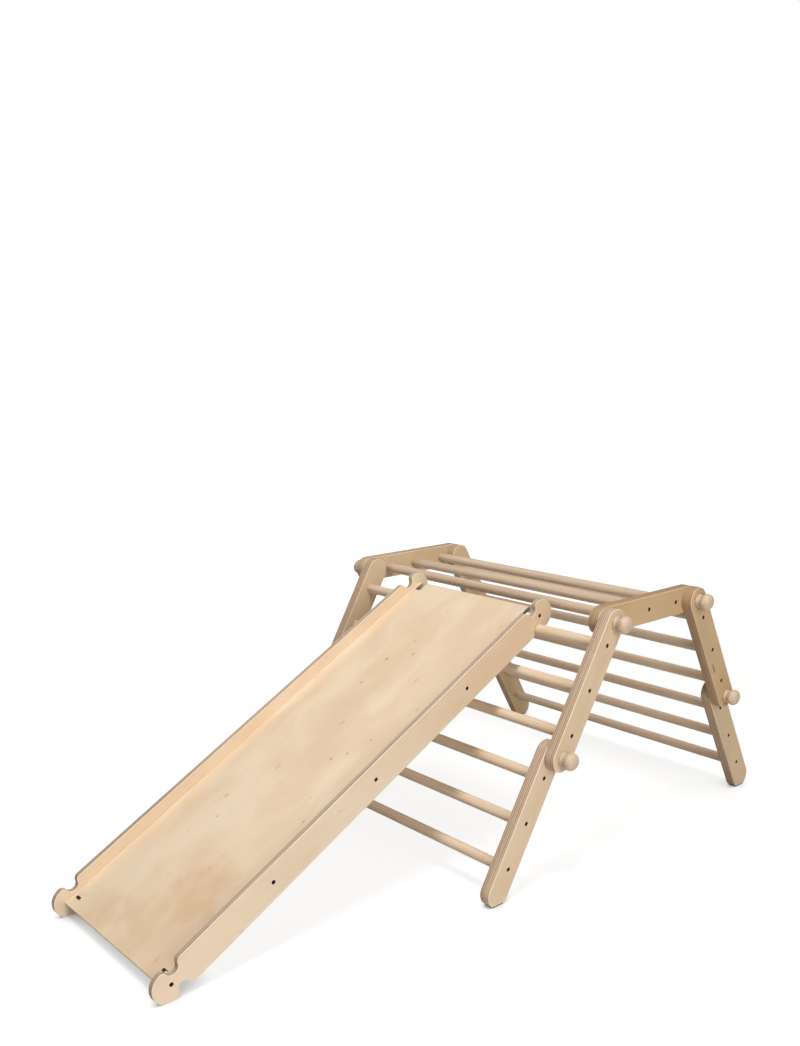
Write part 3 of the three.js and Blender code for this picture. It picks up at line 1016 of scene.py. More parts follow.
@dataclass
class Turning:
    """Turned piece: a profile swept round its axis."""

    name: str
    place: Matrix
    profile: list[tuple[float, float]]
    seed: int
    segments: int = 56

    def build(self) -> bpy.types.Object:
        """Builds the turned object.

        Returns:
            The object.
        """
        draw = random.Random(self.seed)
        roll = draw.uniform(-0.35, 0.35)
        shift = Vector((draw.uniform(0, 0.02), draw.uniform(0, 0.02), draw.uniform(0, 3)))
        bm = bmesh.new()
        grain = bm.verts.layers.float_vector.new(GRAIN)
        rings = []
        for radius, height in self.profile:
            count = self.segments if radius > 1e-6 else 1
            ring = []
            for k in range(count):
                angle = 2 * math.pi * k / self.segments
                local = Vector((radius * math.cos(angle), radius * math.sin(angle), height)) * MM
                vert = bm.verts.new(self.place @ local)
                turned = Matrix.Rotation(roll, 3, "Z") @ local
                vert[grain] = turned + shift
                ring.append(vert)
            rings.append(ring)
        for low, high in zip(rings, rings[1:]):
            for k in range(self.segments):
                j = (k + 1) % self.segments
                corners = [low[k % len(low)], low[j % len(low)], high[j % len(high)], high[k % len(high)]]
                unique = list(dict.fromkeys(corners))
                bm.faces.new(unique).smooth = True
        return object_from(bm, self.name)


# ---------------------------------------------------------------- geometry nodes


class GeometryDesk(NodeDesk):
    """One geometry node tree and the calls that fill it."""

    def __init__(self, name: str) -> None:
        """Starts a tree with a geometry in and out.

        Args:
            name: name of the tree.
        """
        super().__init__(bpy.data.node_groups.new(name, "GeometryNodeTree"))
        self.identifiers: dict[str, str] = {}
        self.tree.interface.new_socket("Points", in_out="INPUT", socket_type="NodeSocketGeometry")
        self.tree.interface.new_socket("Pieces", in_out="OUTPUT", socket_type="NodeSocketGeometry")
        self.source = self.node("NodeGroupInput")
        self.sink = self.node("NodeGroupOutput")

    def size(self, name: str, default: float) -> None:
        """Adds a named size to the tree's inputs.

        Args:
            name: name of the input.
            default: its value unless set.
        """
        made = self.tree.interface.new_socket(name, in_out="INPUT", socket_type="NodeSocketFloat")
        made.default_value = default
        self.identifiers[name] = made.identifier

    def material(self, name: str) -> None:
        """Adds a named material to the tree's inputs."""
        made = self.tree.interface.new_socket(name, in_out="INPUT", socket_type="NodeSocketMaterial")
        self.identifiers[name] = made.identifier

    def given(self, name: str) -> bpy.types.NodeSocket:
        """The tree's input of that name."""
        return self.source.outputs[name]

    def maths(self, operation: str, *values: object) -> bpy.types.NodeSocket:
        """Adds a Math node."""
        return self.node("ShaderNodeMath", {"operation": operation}, dict(enumerate(values))).outputs[0]

    def vector_maths(self, operation: str, sockets: dict) -> bpy.types.NodeSocket:
        """Adds a Vector Math node."""
        return self.node("ShaderNodeVectorMath", {"operation": operation}, sockets).outputs[0]

    def extruded(self, mesh: bpy.types.NodeSocket, offset: object, faces: object = True,
                 individual: bool = False) -> bpy.types.Node:
        """Pulls faces out.

        Args:
            mesh: the mesh.
            offset: how far.
            faces: which faces, or all of them.
            individual: whether each face goes on its own.

        Returns:
            The node, whose Top is the faces pulled out.
        """
        sockets = {"Mesh": mesh, "Selection": faces, "Offset Scale": offset, "Individual": individual}
        return self.node("GeometryNodeExtrudeMesh", {"mode": "FACES"}, sockets)

    def scaled(self, mesh: bpy.types.NodeSocket, faces: bpy.types.NodeSocket,
               scale: object) -> bpy.types.NodeSocket:
        """Scales faces about their middles.

        Args:
            mesh: the mesh.
            faces: which faces.
            scale: their new size as a share of the old.

        Returns:
            The mesh.
        """
        sockets = {"Geometry": mesh, "Selection": faces, "Scale": scale}
        return self.node("GeometryNodeScaleElements", {"domain": "FACE"}, sockets).outputs[0]

    def stored(self, pieces: bpy.types.NodeSocket, name: str, value: bpy.types.NodeSocket,
               domain: str = "POINT") -> bpy.types.NodeSocket:
        """Keeps a vector as a named attribute.

        Args:
            pieces: geometry that carries it.
            name: name of the attribute.
            value: the vector.
            domain: what it is kept on.

        Returns:
            The geometry.
        """
        settings = {"data_type": "FLOAT_VECTOR", "domain": domain}
        sockets = {"Geometry": pieces, "Name": name, "Value": value}
        return self.node("GeometryNodeStoreNamedAttribute", settings, sockets).outputs[0]

    def named(self, name: str) -> bpy.types.NodeSocket:
        """A named vector attribute."""
        settings = {"data_type": "FLOAT_VECTOR"}
        return self.node("GeometryNodeInputNamedAttribute", settings, {"Name": name}).outputs[0]

    def close(self, pieces: bpy.types.NodeSocket, material: str) -> None:
        """Ends the tree: real meshes with their material.

        Args:
            pieces: the finished geometry, with instances or without.
            material: name of the material's input.
        """
        real = self.node("GeometryNodeRealizeInstances", None, {"Geometry": pieces}).outputs[0]
        paint = self.node("GeometryNodeSetMaterial", None, {
            "Geometry": real, "Material": self.given(material),
        })
        self.tree.links.new(paint.outputs[0], self.sink.inputs[0])

    def run(self, name: str, points: Sequence[Vector], values: dict[str, object],
            facings: Sequence[Vector] = ()) -> bpy.types.Object:
        """Runs the tree on points and keeps the result as a plain mesh.

        Args:
            name: name of the finished object.
            points: where the pieces go.
            values: the tree's named inputs.
            facings: direction that each piece faces.

        Returns:
            The finished object, at the origin.
        """
        seedbed = bpy.data.meshes.new(f"{name}_points")
        seedbed.from_pydata([tuple(p) for p in points], [], [])
        if facings:
            layer = seedbed.attributes.new(FACING, "FLOAT_VECTOR", "POINT")
            layer.data.foreach_set("vector", [c for facing in facings for c in facing])
        holder = bpy.data.objects.new(f"{name}_holder", seedbed)
        bpy.context.scene.collection.objects.link(holder)
        modifier = holder.modifiers.new("Build", "NODES")
        modifier.node_group = self.tree
        for key, value in values.items():
            modifier[self.identifiers[key]] = value
        bpy.context.view_layer.update()
        evaluated = holder.evaluated_get(bpy.context.evaluated_depsgraph_get())
        mesh = bpy.data.meshes.new_from_object(evaluated)
        bpy.data.objects.remove(holder)
        mesh.name = name
        piece = bpy.data.objects.new(name, mesh)
        bpy.context.scene.collection.objects.link(piece)
        return piece


def rod_tree() -> GeometryDesk:
    """Tree that puts one round rod, with eased ends, on each point, along Y.

    Returns:
        The tree.
    """
    desk = GeometryDesk("round_rods")
    for name, default in (("Radius", 0.011), ("Length", 0.7), ("Easing", 0.001), ("Waviness", 0.0001)):
        desk.size(name, default)
    desk.material("Wood")
    easing = desk.given("Easing")
    core = desk.maths("SUBTRACT", desk.given("Length"), desk.maths("MULTIPLY", easing, 2.0))
    drum = desk.node("GeometryNodeMeshCylinder", {"fill_type": "NGON"}, {
        "Vertices": 40, "Side Segments": 18, "Radius": desk.given("Radius"), "Depth": core,
    })
    ends = desk.node("FunctionNodeBooleanMath", {"operation": "OR"}, {
        0: drum.outputs["Top"], 1: drum.outputs["Bottom"],
    })
    capped = desk.extruded(drum.outputs["Mesh"], easing, ends.outputs[0], True)
    shrunk = desk.scaled(capped.outputs["Mesh"], capped.outputs["Top"], 0.91)
    lying = desk.node("GeometryNodeTransform", None, {
        "Geometry": shrunk, "Rotation": (math.pi / 2, 0.0, 0.0),
    })
    spot = desk.node("GeometryNodeInputPosition").outputs[0]
    split = desk.node("ShaderNodeSeparateXYZ", None, {0: spot})
    turned = desk.node("ShaderNodeCombineXYZ", None, {
        0: split.outputs[1], 1: split.outputs[0], 2: split.outputs[2],
    })
    rods = desk.node("GeometryNodeInstanceOnPoints", None, {
        "Points": desk.given("Points"), "Instance": desk.stored(lying.outputs[0], GRAIN, turned.outputs[0]),
    })
    chance = desk.node("FunctionNodeRandomValue", {"data_type": "FLOAT_VECTOR"}, {
        "Min": (0.0, 0.0, 0.0), "Max": (30.0, 5.0, 5.0), "Seed": 11,
    })
    offset = desk.stored(rods.outputs[0], ROD_SHIFT, chance.outputs[0], "INSTANCE")
    real = desk.node("GeometryNodeRealizeInstances", None, {"Geometry": offset})
    total = desk.vector_maths("ADD", {0: desk.named(GRAIN), 1: desk.named(ROD_SHIFT)})
    ripple = desk.node("ShaderNodeTexNoise", None, {"Vector": total, "Scale": 14.0, "Detail": 1.0})
    drop = desk.maths("MULTIPLY", desk.maths("SUBTRACT", ripple.outputs[0], 1.0), desk.given("Waviness"))
    normal = desk.node("GeometryNodeInputNormal").outputs[0]
    moved = desk.node("GeometryNodeSetPosition", None, {
        "Geometry": desk.stored(real.outputs[0], GRAIN, total),
        "Offset": desk.vector_maths("SCALE", {0: normal, "Scale": drop}),
    })
    lengthwise = desk.node("ShaderNodeSeparateXYZ", None, {0: normal}).outputs[1]
    round_side = desk.node("FunctionNodeCompare", {"data_type": "FLOAT", "operation": "LESS_THAN"}, {
        0: desk.maths("ABSOLUTE", lengthwise), 1: 0.9,
    })
    shaded = desk.node("GeometryNodeSetShadeSmooth", {"domain": "FACE"}, {
        "Geometry": moved.outputs[0], "Shade Smooth": round_side.outputs[0],
    })
    desk.close(shaded.outputs[0], "Wood")
    return desk


def screw_tree() -> GeometryDesk:
    """Tree that seats a socket screw head on each point, facing out of its recess.

    Returns:
        The tree.
    """
    desk = GeometryDesk("socket_screws")
    for name, default in (("Radius", 0.0038), ("Height", 0.0024), ("Socket", 0.0017)):
        desk.size(name, default)
    desk.material("Metal")
    radius, height = desk.given("Radius"), desk.given("Height")
    disc = desk.node("GeometryNodeMeshCircle", {"fill_type": "NGON"}, {"Vertices": 24, "Radius": radius})
    rim = desk.extruded(disc.outputs[0], desk.maths("MULTIPLY", height, 0.7))
    dome = desk.extruded(rim.outputs["Mesh"], desk.maths("MULTIPLY", height, 0.3), rim.outputs["Top"])
    crown = desk.scaled(dome.outputs["Mesh"], dome.outputs["Top"], CROWN_SHARE)
    inset = desk.extruded(crown, 0.01 * MM, dome.outputs["Top"])
    ratio = desk.maths("DIVIDE", desk.given("Socket"), desk.maths("MULTIPLY", radius, CROWN_SHARE))
    mouth = desk.scaled(inset.outputs["Mesh"], inset.outputs["Top"], ratio)
    spot = desk.node("GeometryNodeInputPosition").outputs[0]
    split = desk.node("ShaderNodeSeparateXYZ", None, {0: spot})
    angle = desk.maths("ARCTAN2", split.outputs[1], split.outputs[0])
    lobes = desk.maths("MULTIPLY", desk.maths("COSINE", desk.maths("MULTIPLY", angle, 6.0)), 0.09)
    flat_spot = desk.vector_maths("MULTIPLY", {0: spot, 1: (1.0, 1.0, 0.0)})
    star = desk.node("GeometryNodeSetPosition", None, {
        "Geometry": mouth, "Selection": inset.outputs["Top"],
        "Offset": desk.vector_maths("SCALE", {0: flat_spot, "Scale": lobes}),
    })
    pit = desk.extruded(star.outputs[0], desk.maths("MULTIPLY", height, -0.6), inset.outputs["Top"])
    under = desk.node("GeometryNodeFlipFaces", None, {"Mesh": disc.outputs[0]})
    join = desk.node("GeometryNodeJoinGeometry")
    desk.tree.links.new(pit.outputs["Mesh"], join.inputs[0])
    desk.tree.links.new(under.outputs[0], join.inputs[0])
    sealed = desk.node("GeometryNodeMergeByDistance", None, {
        "Geometry": join.outputs[0], "Distance": 0.002 * MM,
    })
    aimed = desk.node("FunctionNodeAlignRotationToVector", {"axis": "Z"}, {"Vector": desk.named(FACING)})
    heads = desk.node("GeometryNodeInstanceOnPoints", None, {
        "Points": desk.given("Points"), "Instance": sealed.outputs[0], "Rotation": aimed.outputs[0],
    })
    chance = desk.node("FunctionNodeRandomValue", {"data_type": "FLOAT"}, {2: 0.0, 3: 2 * math.pi, "Seed": 5})
    spin = desk.node("ShaderNodeCombineXYZ", None, {2: chance.outputs[1]})
    turned = desk.node("GeometryNodeRotateInstances", None, {
        "Instances": heads.outputs[0], "Rotation": spin.outputs[0],
    })
    desk.close(turned.outputs[0], "Metal")
    return desk


# ---------------------------------------------------------------- sub-assemblies


@dataclass
class Workshop:
    """Shared node trees."""

    rods: GeometryDesk = field(default_factory=rod_tree)
    screws: GeometryDesk = field(default_factory=screw_tree)

    def seat_screws(self, body: str, faces: Sequence[tuple[float, float]], depth: float,
                    spots: Sequence[Vector], sizes: dict[str, float]) -> None:
        """Seats a body's screws in the recesses of its near and far faces.

        Args:
            body: CAD body that they move with.
            faces: each face's place along Y and the sign of the way it looks.
            depth: depth of the recesses.
            spots: middles of the recesses, whose Y is not used.
            sizes: sizes that differ from the tree's own.
        """
        points = [Vector((spot.x, face - sign * depth, spot.z)) for face, sign in faces for spot in spots]
        facings = [Y_AXIS * sign for _, sign in faces for _ in spots]
        values = {**sizes, "Metal": Paints.of(BLACK_STEEL)}
        piece = self.screws.run(f"{body}_screws", points, values, facings)
        settle(piece, BLACK_STEEL, body)


@dataclass
class LadderSection:
    """One ladder section: two side plates, three rungs and their screws."""

    name: str
    upper: Vector
    lower: Vector
    is_foot: bool
    seed: int
    tone_and_shade_shares: tuple[float, float] = (0.0, 0.0)
    streaked: bool = False
    rung_finish: RodFinish = RUNG_WOOD
    plate_radius: float = 28.3 * MM
    foot_reach: float = 289 * MM
    easing: float = 1.7 * MM
    recess_radius: float = 4.6 * MM
    recess_depth: float = 5.0 * MM
    rung_radius: float = 10.98 * MM
    sole_corner: float = 1.2 * MM

    def rungs(self) -> list[str]:
        """Names of the rungs' nodes."""
        return [f"{self.name}_rung_{i}" for i in (1, 2, 3)]

    def reach(self) -> float:
        """Length from the upper hinge to the centre of the lower end."""
        return self.foot_reach if self.is_foot else (self.lower - self.upper).length

    def outline(self, place: Matrix, floor: float) -> list[Vector]:
        """Round ended outline, with the sole cut flat on a foot.

        Args:
            place: the plate's frame.
            floor: height of the sole.

        Returns:
            The closed outline.
        """
        reach = self.reach()
        radius = self.plate_radius
        near = arc(Vector((0.0, 0.0)), radius, math.pi / 2, 1.5 * math.pi)
        far = Vector((reach, 0.0))
        if not self.is_foot:
            return tidy_loop(near + arc(far, radius, -math.pi / 2, math.pi / 2))
        down = place.inverted().to_3x3() @ Vector((0.0, 0.0, -1.0))
        middle = math.atan2(down.y, down.x)
        drop = (place @ Vector((reach, 0.0, 0.0))).z - floor
        half = math.acos(min(1.0, drop / radius))
        toe = arc(far, radius, -math.pi / 2, middle - half)
        heel = arc(far, radius, middle + half, math.pi / 2)
        return softened(tidy_loop(near + toe + heel), math.radians(20.0), self.sole_corner)

    def plate(self, side: str, index: int) -> None:
        """Builds one side plate.

        Args:
            side: near or far.
            index: place of its share in the section's tone and painted shade shares.
        """
        node = f"{self.name}_plate_{side}"
        low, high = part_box(node)
        origin = Vector((self.upper.x, low.y, self.upper.z))
        flat = Vector((self.lower.x - self.upper.x, 0.0, self.lower.z - self.upper.z))
        place = plane_frame(origin, flat, Y_AXIS)
        outer = Side.LOW if side == "near" else Side.HIGH
        inverse = place.inverted()
        recesses = []
        for rung in self.rungs():
            spot = inverse @ centre_of(rung)
            recesses.append(Recess(Vector((spot.x, spot.y)), self.recess_radius, self.recess_depth, outer))
        made = Sheet(
            name=f"{self.name}_{side}_side_plate", place=place, outline=self.outline(place, low.z),
            thickness=high.y - low.y, easing=self.easing, seed=self.seed * 10 + index,
            tone=self.tone_and_shade_shares[index], squared=self.streaked, recesses=recesses,
        )
        settle(made.build(), STREAKED_PLY if self.streaked and index == 0 else FRAME_PLY, self.name, [node])

    def screws(self, workshop: Workshop) -> None:
        """Seats the screws in the plates' recesses.

        Args:
            workshop: the shared node trees.
        """
        near, far = (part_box(f"{self.name}_plate_{side}") for side in ("near", "far"))
        faces = ((near[0].y, -1.0), (far[1].y, 1.0))
        spots = [centre_of(rung) for rung in self.rungs()]
        workshop.seat_screws(self.name, faces, self.recess_depth, spots, {})

    def build(self, workshop: Workshop) -> None:
        """Builds the whole section.

        Args:
            workshop: the shared node trees.
        """
        self.plate("near", 0)
        self.plate("far", 1)
        low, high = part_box(self.rungs()[0])
        values = {"Radius": self.rung_radius, "Length": high.y - low.y, "Wood": Paints.of(self.rung_finish)}
        piece = workshop.rods.run(f"{self.name}_rungs", [centre_of(r) for r in self.rungs()], values)
        settle(piece, self.rung_finish, self.name, self.rungs())
        self.screws(workshop)


@dataclass
class ClampKnobs:
    """The turned knobs that clamp the hinges."""

    labels: tuple[str, ...] = ("front_top", "front_knee", "rear_top", "rear_knee")
    flange: tuple[tuple[float, float], ...] = (
        (4.4, 0.0), (13.9, 0.0), (14.5, 0.35), (14.88, 1.2), (14.9, 3.0), (14.6, 4.3), (13.7, 5.2),
        (12.6, 5.9),
    )
    head: tuple[tuple[float, float], ...] = (
        (11.6, 6.9), (11.2, 7.9), (11.7, 9.2), (13.6, 11.1), (15.8, 13.3), (17.2, 15.9), (17.78, 18.8),
        (17.5, 21.8), (16.4, 24.9), (14.4, 27.4), (11.4, 29.3), (7.6, 30.4), (3.6, 30.85), (0.0, 30.95),
    )
    bore_depth: float = 14.3

    def profile(self) -> list[tuple[float, float]]:
        """Closed profile, from the bottom of the bore round the outside to the tip."""
        bore = [(0.0, self.bore_depth), (4.4, self.bore_depth)]
        return bore + list(self.flange[:1]) + smooth_profile(self.flange[1:] + self.head, 3)

    def build(self) -> None:
        """Builds all knobs."""
        for index, label in enumerate(self.labels):
            for side, sign in (("near", -1.0), ("far", 1.0)):
                node = f"knob_{label}_{side}"
                low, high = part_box(node)
                base = high.y if sign < 0 else low.y
                spot = centre_of(node)
                outward = Vector((0.0, sign, 0.0))
                place = plane_frame(Vector((spot.x, base, spot.z)), Z_AXIS, outward)
                seed = 70 + 2 * index + (sign > 0)
                made = Turning(f"clamp_knob_{label}_{side}", place, self.profile(), seed)
                settle(made.build(), KNOB_WOOD, node, [node])


@dataclass
class FloorPads:
    """Rubber pads under the feet."""

    corner: float = 2.0 * MM
    easing: float = 0.4 * MM

    def build(self) -> None:
        """Builds all pads."""
        for index, leg in enumerate(("front", "rear")):
            for side in ("near", "far"):
                node = f"pad_{leg}_{side}"
                low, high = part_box(node)
                place = plane_frame(Vector(low), X_AXIS, Z_AXIS)
                run, width = high.x - low.x, high.y - low.y
                corners = [Vector((0.0, 0.0)), Vector((run, 0.0)), Vector((run, width)), Vector((0.0, width))]
                made = Sheet(
                    name=f"{leg}_{side}_floor_pad", place=place, outline=softened(corners, cut=self.corner),
                    thickness=high.z - low.z, easing=self.easing, seed=90 + index, steps=2,
                )
                settle(made.build(), PAD_RUBBER, f"{leg}_lower", [node])


@dataclass
class SlideAssembly:
    """The slide: two side rails, the board between them and the screws."""

    length: float = 1090 * MM
    lobe_radius: float = 31.45 * MM
    notch_radius: float = 12.2 * MM
    notch_from_end: float = 53 * MM
    notch_offset: float = 24.5 * MM
    lobe_fillet: float = 10 * MM
    body_fillet: float = 12 * MM
    foot_drop: float = 28.4 * MM
    rail_easing: float = 1.1 * MM
    board_thickness: float = 9 * MM
    board_bottom: float = -2.5 * MM
    board_from_end: float = 23 * MM
    board_easing: float = 0.9 * MM
    slot_from_end: float = 46 * MM
    slot_length: float = 16.5 * MM
    slot_width: float = 6 * MM
    slot_from_rail: float = 10 * MM
    screw_offsets: tuple[float, ...] = (-0.508, -0.2695, 0.0, 0.2695, 0.508)
    recess_radius: float = 4.2 * MM
    recess_depth: float = 3.0 * MM
    lobe_from_end: float = 31.5 * MM
    hook_sag: float = 0.9 * MM
    rail_corner: float = 0.8 * MM
    board_corner: float = 1.0 * MM
    slot_facet: float = math.radians(12.0)
    screw_radius: float = 3.5 * MM
    screw_height: float = 1.7 * MM
    screw_socket: float = 1.5 * MM

    def __post_init__(self) -> None:
        """Finds the lean of the slide from its hook point and its foot."""
        self.hook = centre_of("front_upper_rung_1")
        low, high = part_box("slide_rail_near")
        far_low, far_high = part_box("slide_rail_far")
        self.near_face, self.near_inner = low.y, high.y
        self.far_inner, self.far_face = far_low.y, far_high.y
        run = self.length - self.notch_from_end - self.lobe_from_end
        hook_height = self.hook.z - self.hook_sag
        rise = hook_height - self.foot_drop
        self.angle = math.asin(rise / math.hypot(run, self.notch_offset)) + math.atan2(self.notch_offset, run)
        cos, sin = math.cos(self.angle), math.sin(self.angle)
        reach = self.length - self.notch_from_end
        self.foot = Vector((
            self.hook.x - reach * cos - self.notch_offset * sin, 0.0,
            hook_height - reach * sin + self.notch_offset * cos,
        ))
        self.along = Vector((cos, 0.0, sin))
        self.up = Vector((-sin, 0.0, cos))

    def end_line(self, is_foot: bool) -> list[Vector]:
        """Outline of a rail's end, from its upper edge round the lobe to its lower edge.

        Args:
            is_foot: whether the lobe is cut flat for the floor.

        Returns:
            The open outline, measured from the end.
        """
        lobe = Vector((self.lobe_from_end, 0.0))
        notch = Vector((self.notch_from_end, self.notch_offset))
        edge = self.lobe_radius
        corner_rise = edge - self.body_fillet
        both = self.notch_radius + self.body_fillet
        corner = Vector((notch.x + math.sqrt(both ** 2 - (notch.y - corner_rise) ** 2), corner_rise))
        to_lobe = edge - self.lobe_fillet
        to_notch = self.notch_radius + self.lobe_fillet
        span = (notch - lobe).length
        foot = (to_lobe ** 2 - to_notch ** 2 + span ** 2) / (2 * span)
        rise = math.sqrt(to_lobe ** 2 - foot ** 2)
        unit = (notch - lobe) / span
        fillet = lobe + unit * foot + Vector((-unit.y, unit.x)) * rise

        def bearing(centre: Vector, point: Vector) -> float:
            """Angle of a point seen from a centre."""
            return math.atan2(point.y - centre.y, point.x - centre.x)

        upper = (
            arc(corner, self.body_fillet, math.pi / 2, bearing(corner, notch))
            + arc(notch, self.notch_radius, bearing(notch, corner), bearing(notch, fillet))
            + arc(fillet, self.lobe_fillet, bearing(fillet, notch), bearing(lobe, fillet))
        )
        lower = [Vector((p.x, -p.y)) for p in reversed(upper)]
        start = bearing(lobe, fillet)
        end = 2 * math.pi - start
        if not is_foot:
            return upper + arc(lobe, edge, start, end) + lower
        middle = 1.5 * math.pi - self.angle
        half = math.acos(self.foot_drop / edge)
        toe = arc(lobe, edge, start, middle - half)
        heel = arc(lobe, edge, min(middle + half, end - 0.01), end)
        return upper + toe + heel + lower

    def rail(self, side: str, low_y: float, high_y: float, seed: int) -> None:
        """Builds one side rail.

        Args:
            side: near or far.
            low_y: its lower face.
            high_y: its upper face.
            seed: where its veneer was cut.
        """
        foot = self.end_line(True)
        head = [Vector((self.length - p.x, p.y)) for p in reversed(self.end_line(False))]
        outline = softened(tidy_loop(foot + head, 0.15 * MM), math.radians(20.0), self.rail_corner)
        place = plane_frame(Vector((self.foot.x, low_y, self.foot.z)), self.along, Y_AXIS)
        flip = place.inverted().to_3x3() @ self.up
        if flip.y < 0:
            outline = [Vector((p.x, -p.y)) for p in reversed(outline)]
        outer = Side.LOW if side == "near" else Side.HIGH
        recesses = [
            Recess(Vector((self.length / 2 + offset, 0.0)), self.recess_radius, self.recess_depth, outer)
            for offset in self.screw_offsets
        ]
        made = Sheet(
            name=f"slide_{side}_rail", place=place, outline=outline, thickness=high_y - low_y,
            easing=self.rail_easing, seed=seed, squared=side == "near", recesses=recesses,
        )
        settle(made.build(), NEAR_RAIL_PLY if side == "near" else RAIL_PLY, "slide", [f"slide_rail_{side}"])

    def slot_line(self, middle: float, across: float) -> list[Vector]:
        """Closed oblong slot.

        Args:
            middle: its middle along the board.
            across: its middle across the board.

        Returns:
            The closed line.
        """
        half, radius = self.slot_length / 2, self.slot_width / 2
        first = arc(Vector((middle, across + half - radius)), radius, 0.0, math.pi, self.slot_facet)
        second = arc(Vector((middle, across - half + radius)), radius, math.pi, 2 * math.pi, self.slot_facet)
        return tidy_loop(first + second)

    def board(self) -> None:
        """Builds the board with its two slots and two end notches."""
        low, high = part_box("slide_board")
        half_width = (high.y - low.y) / 2
        middle_y = (high.y + low.y) / 2
        start, end = self.board_from_end, self.length - self.board_from_end
        reach = (self.far_inner - self.near_inner) / 2 - self.slot_from_rail - self.slot_length / 2
        half, radius = self.slot_length / 2, self.slot_width / 2
        bottom = self.length - self.slot_from_end
        line = [Vector((start, -half_width)), Vector((end, -half_width))]
        for across in (-reach, reach):
            line.append(Vector((end, across - half)))
            low_corner = Vector((bottom, across - half + radius))
            high_corner = Vector((bottom, across + half - radius))
            line += arc(low_corner, radius, 1.5 * math.pi, math.pi, self.slot_facet)
            line += arc(high_corner, radius, math.pi, math.pi / 2, self.slot_facet)
            line.append(Vector((end, across + half)))
        line += [Vector((end, half_width)), Vector((start, half_width))]
        origin = Vector((self.foot.x, middle_y, self.foot.z)) + self.up * self.board_bottom
        place = plane_frame(origin, self.along, self.up)
        openings = [Vector((u, v)) for u in (self.slot_from_end, bottom) for v in (-reach, reach)]
        made = Sheet(
            name="slide_board_panel", place=place,
            outline=softened(tidy_loop(line), math.radians(40.0), self.board_corner),
            thickness=self.board_thickness, easing=self.board_easing, seed=31, squared=True,
            shaded=[(opening, 0.6 * self.slot_length) for opening in openings],
            slots=[self.slot_line(self.slot_from_end, across) for across in (-reach, reach)],
        )
        settle(made.build(), BOARD_PLY, "slide", ["slide_board"])

    def screws(self, workshop: Workshop) -> None:
        """Seats the screws in the rails' recesses.

        Args:
            workshop: the shared node trees.
        """
        faces = ((self.near_face, -1.0), (self.far_face, 1.0))
        spots = [self.foot + self.along * (self.length / 2 + offset) for offset in self.screw_offsets]
        sizes = {"Radius": self.screw_radius, "Height": self.screw_height, "Socket": self.screw_socket}
        workshop.seat_screws("slide", faces, self.recess_depth, spots, sizes)

    def build(self, workshop: Workshop) -> None:
        """Builds the whole slide.

        Args:
            workshop: the shared node trees.
        """
        self.rail("near", self.near_face, self.near_inner, 21)
        self.rail("far", self.far_inner, self.far_face, 22)
        self.board()
        self.screws(workshop)


@dataclass
class HingeHardware:
    """Studs and inserts, which keep their CAD shapes."""

    def build(self) -> None:
        """Dresses the CAD nodes."""
        for name, node in frame["nodes"].items():
            if name.startswith("stud_"):
                finish = ZINC
            elif name.startswith("insert_"):
                finish = YELLOW_ZINC
            else:
                continue
            node.data.materials.clear()
            node.data.materials.append(Paints.of(finish))


# ---------------------------------------------------------------- studio


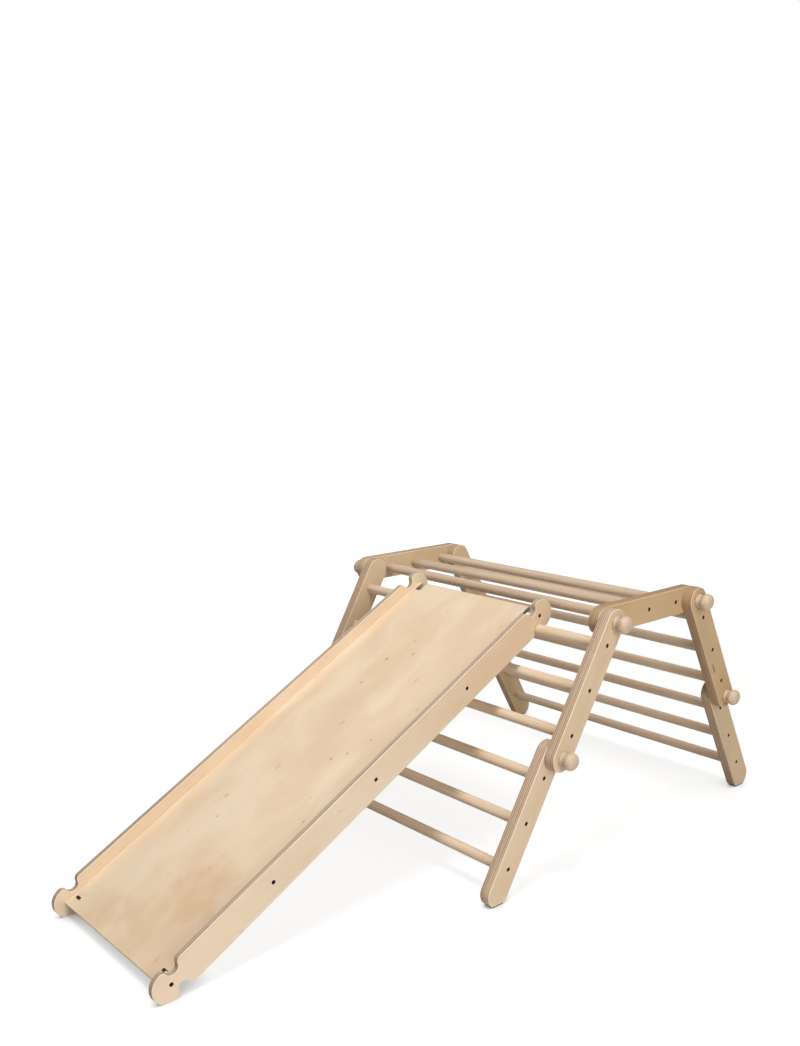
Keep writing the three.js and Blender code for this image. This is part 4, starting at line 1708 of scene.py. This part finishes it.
@dataclass
class Studio:
    """Floor, lights and camera."""

    eye: Vector = field(default_factory=lambda: Vector((-1.42578, -1.55289, 1.01556)))
    azimuth: float = -41.5878
    elevation: float = 17.6548
    roll: float = -0.3934
    lens: float = 35.1042
    shift: tuple[float, float] = (-0.0018, 0.15349)
    sky: Colour = (0.16, 0.15, 0.135)
    daylight: Colour = (1.0, 0.995, 0.985)

    def floor(self) -> None:
        """Lays the floor."""
        bpy.ops.mesh.primitive_plane_add(size=60.0, location=(0.0, 0.0, -0.0002))
        slab = bpy.context.object
        slab.name = "studio_floor"
        slab.data.materials.append(Paints.of(FloorFinish()))

    def camera(self) -> None:
        """Places the camera."""
        a, e, r = (math.radians(v) for v in (self.azimuth, self.elevation, self.roll))
        back = Vector((math.sin(a) * math.cos(e), -math.cos(a) * math.cos(e), math.sin(e)))
        right = Vector((math.cos(a), math.sin(a), 0.0))
        up = back.cross(right)
        tilted = right * math.cos(r) + up * math.sin(r)
        top = up * math.cos(r) - right * math.sin(r)
        data = bpy.data.cameras.new("studio_camera")
        data.lens = self.lens
        data.sensor_width = 36.0
        data.sensor_fit = "AUTO"
        data.shift_x, data.shift_y = self.shift
        data.clip_end = 100.0
        camera = bpy.data.objects.new("studio_camera", data)
        camera.matrix_world = Matrix.Translation(self.eye) @ Matrix((tilted, top, back)).transposed().to_4x4()
        bpy.context.scene.collection.objects.link(camera)
        bpy.context.scene.camera = camera

    def area(self, name: str, spot: Colour, target: Colour, size: float, power: float, tint: Colour) -> None:
        """Adds one soft light.

        Args:
            name: name of the light.
            spot: where it stands.
            target: the point that it faces.
            size: length of its side.
            power: its power, in watts.
            tint: its colour.
        """
        data = bpy.data.lights.new(name, "AREA")
        data.shape = "SQUARE"
        data.size = size
        data.energy = power
        data.color = tint
        lamp = bpy.data.objects.new(name, data)
        lamp.location = spot
        lamp.rotation_euler = (Vector(target) - Vector(spot)).to_track_quat("-Z", "Y").to_euler()
        bpy.context.scene.collection.objects.link(lamp)

    def world(self) -> None:
        """White surroundings, with a softer share of them lighting the object."""
        world = bpy.data.worlds.new("studio_world")
        world.use_nodes = True
        desk = NodeDesk(world.node_tree)
        seen = desk.node("ShaderNodeLightPath").outputs["Is Camera Ray"]
        sockets = {"Factor": seen, 6: (*self.sky, 1.0), 7: (*WHITE, 1.0)}
        mix = desk.node("ShaderNodeMix", {"data_type": "RGBA"}, sockets)
        background = desk.tree.nodes["Background"]
        background.inputs["Strength"].default_value = 1.0
        desk.tree.links.new(mix.outputs[2], background.inputs["Color"])
        bpy.context.scene.world = world

    def build(self) -> None:
        """Builds the whole studio."""
        self.floor()
        self.camera()
        self.world()
        self.area("key", (-0.95, -0.75, 4.2), (-0.45, 0.0, 0.3), 1.0, 114.0, (1.0, 0.99, 0.975))
        self.area("window", (-1.0, -3.6, 1.5), (-0.4, -0.2, 0.25), 2.2, 74.0, self.daylight)
        self.area("far wall", (0.4, 3.6, 1.6), (0.0, 0.2, 0.25), 2.2, 32.0, self.daylight)
        scene = bpy.context.scene
        scene.view_settings.view_transform = "Standard"
        scene.view_settings.look = "None"


def main() -> None:
    """Builds every sub-assembly in order."""
    logging.basicConfig(level=logging.INFO, format="%(message)s")
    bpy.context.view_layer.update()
    front_top, rear_top = joint_point("front_top_hinge"), joint_point("rear_top_hinge")
    front_knee, rear_knee = joint_point("front_knee_hinge"), joint_point("rear_knee_hinge")
    workshop = Workshop()
    front_foot, rear_foot = 2 * front_knee - front_top, 2 * rear_knee - rear_top
    pale = PALE_RUNG_WOOD
    # Plate tint shares, near then far: the far rear-lower plate's 0.8 is painted shade on its inner face,
    # which gets less light; the others are partly wood tone, partly painted shade.
    sections = [
        LadderSection("top", front_top, rear_top, False, 1, (1.0, 0.4)),
        LadderSection("front_upper", front_top, front_knee, False, 2, (0.1, 0.3), rung_finish=pale),
        LadderSection("front_lower", front_knee, front_foot, True, 3, (0.0, 0.2), rung_finish=pale),
        LadderSection("rear_upper", rear_top, rear_knee, False, 4, (1.0, 0.4), True),
        LadderSection("rear_lower", rear_knee, rear_foot, True, 5, (0.5, 0.8)),
    ]
    for section in sections:
        section.build(workshop)
    ClampKnobs().build()
    FloorPads().build()
    SlideAssembly().build(workshop)
    HingeHardware().build()
    Studio().build()


if __name__ == "__main__":
    main()
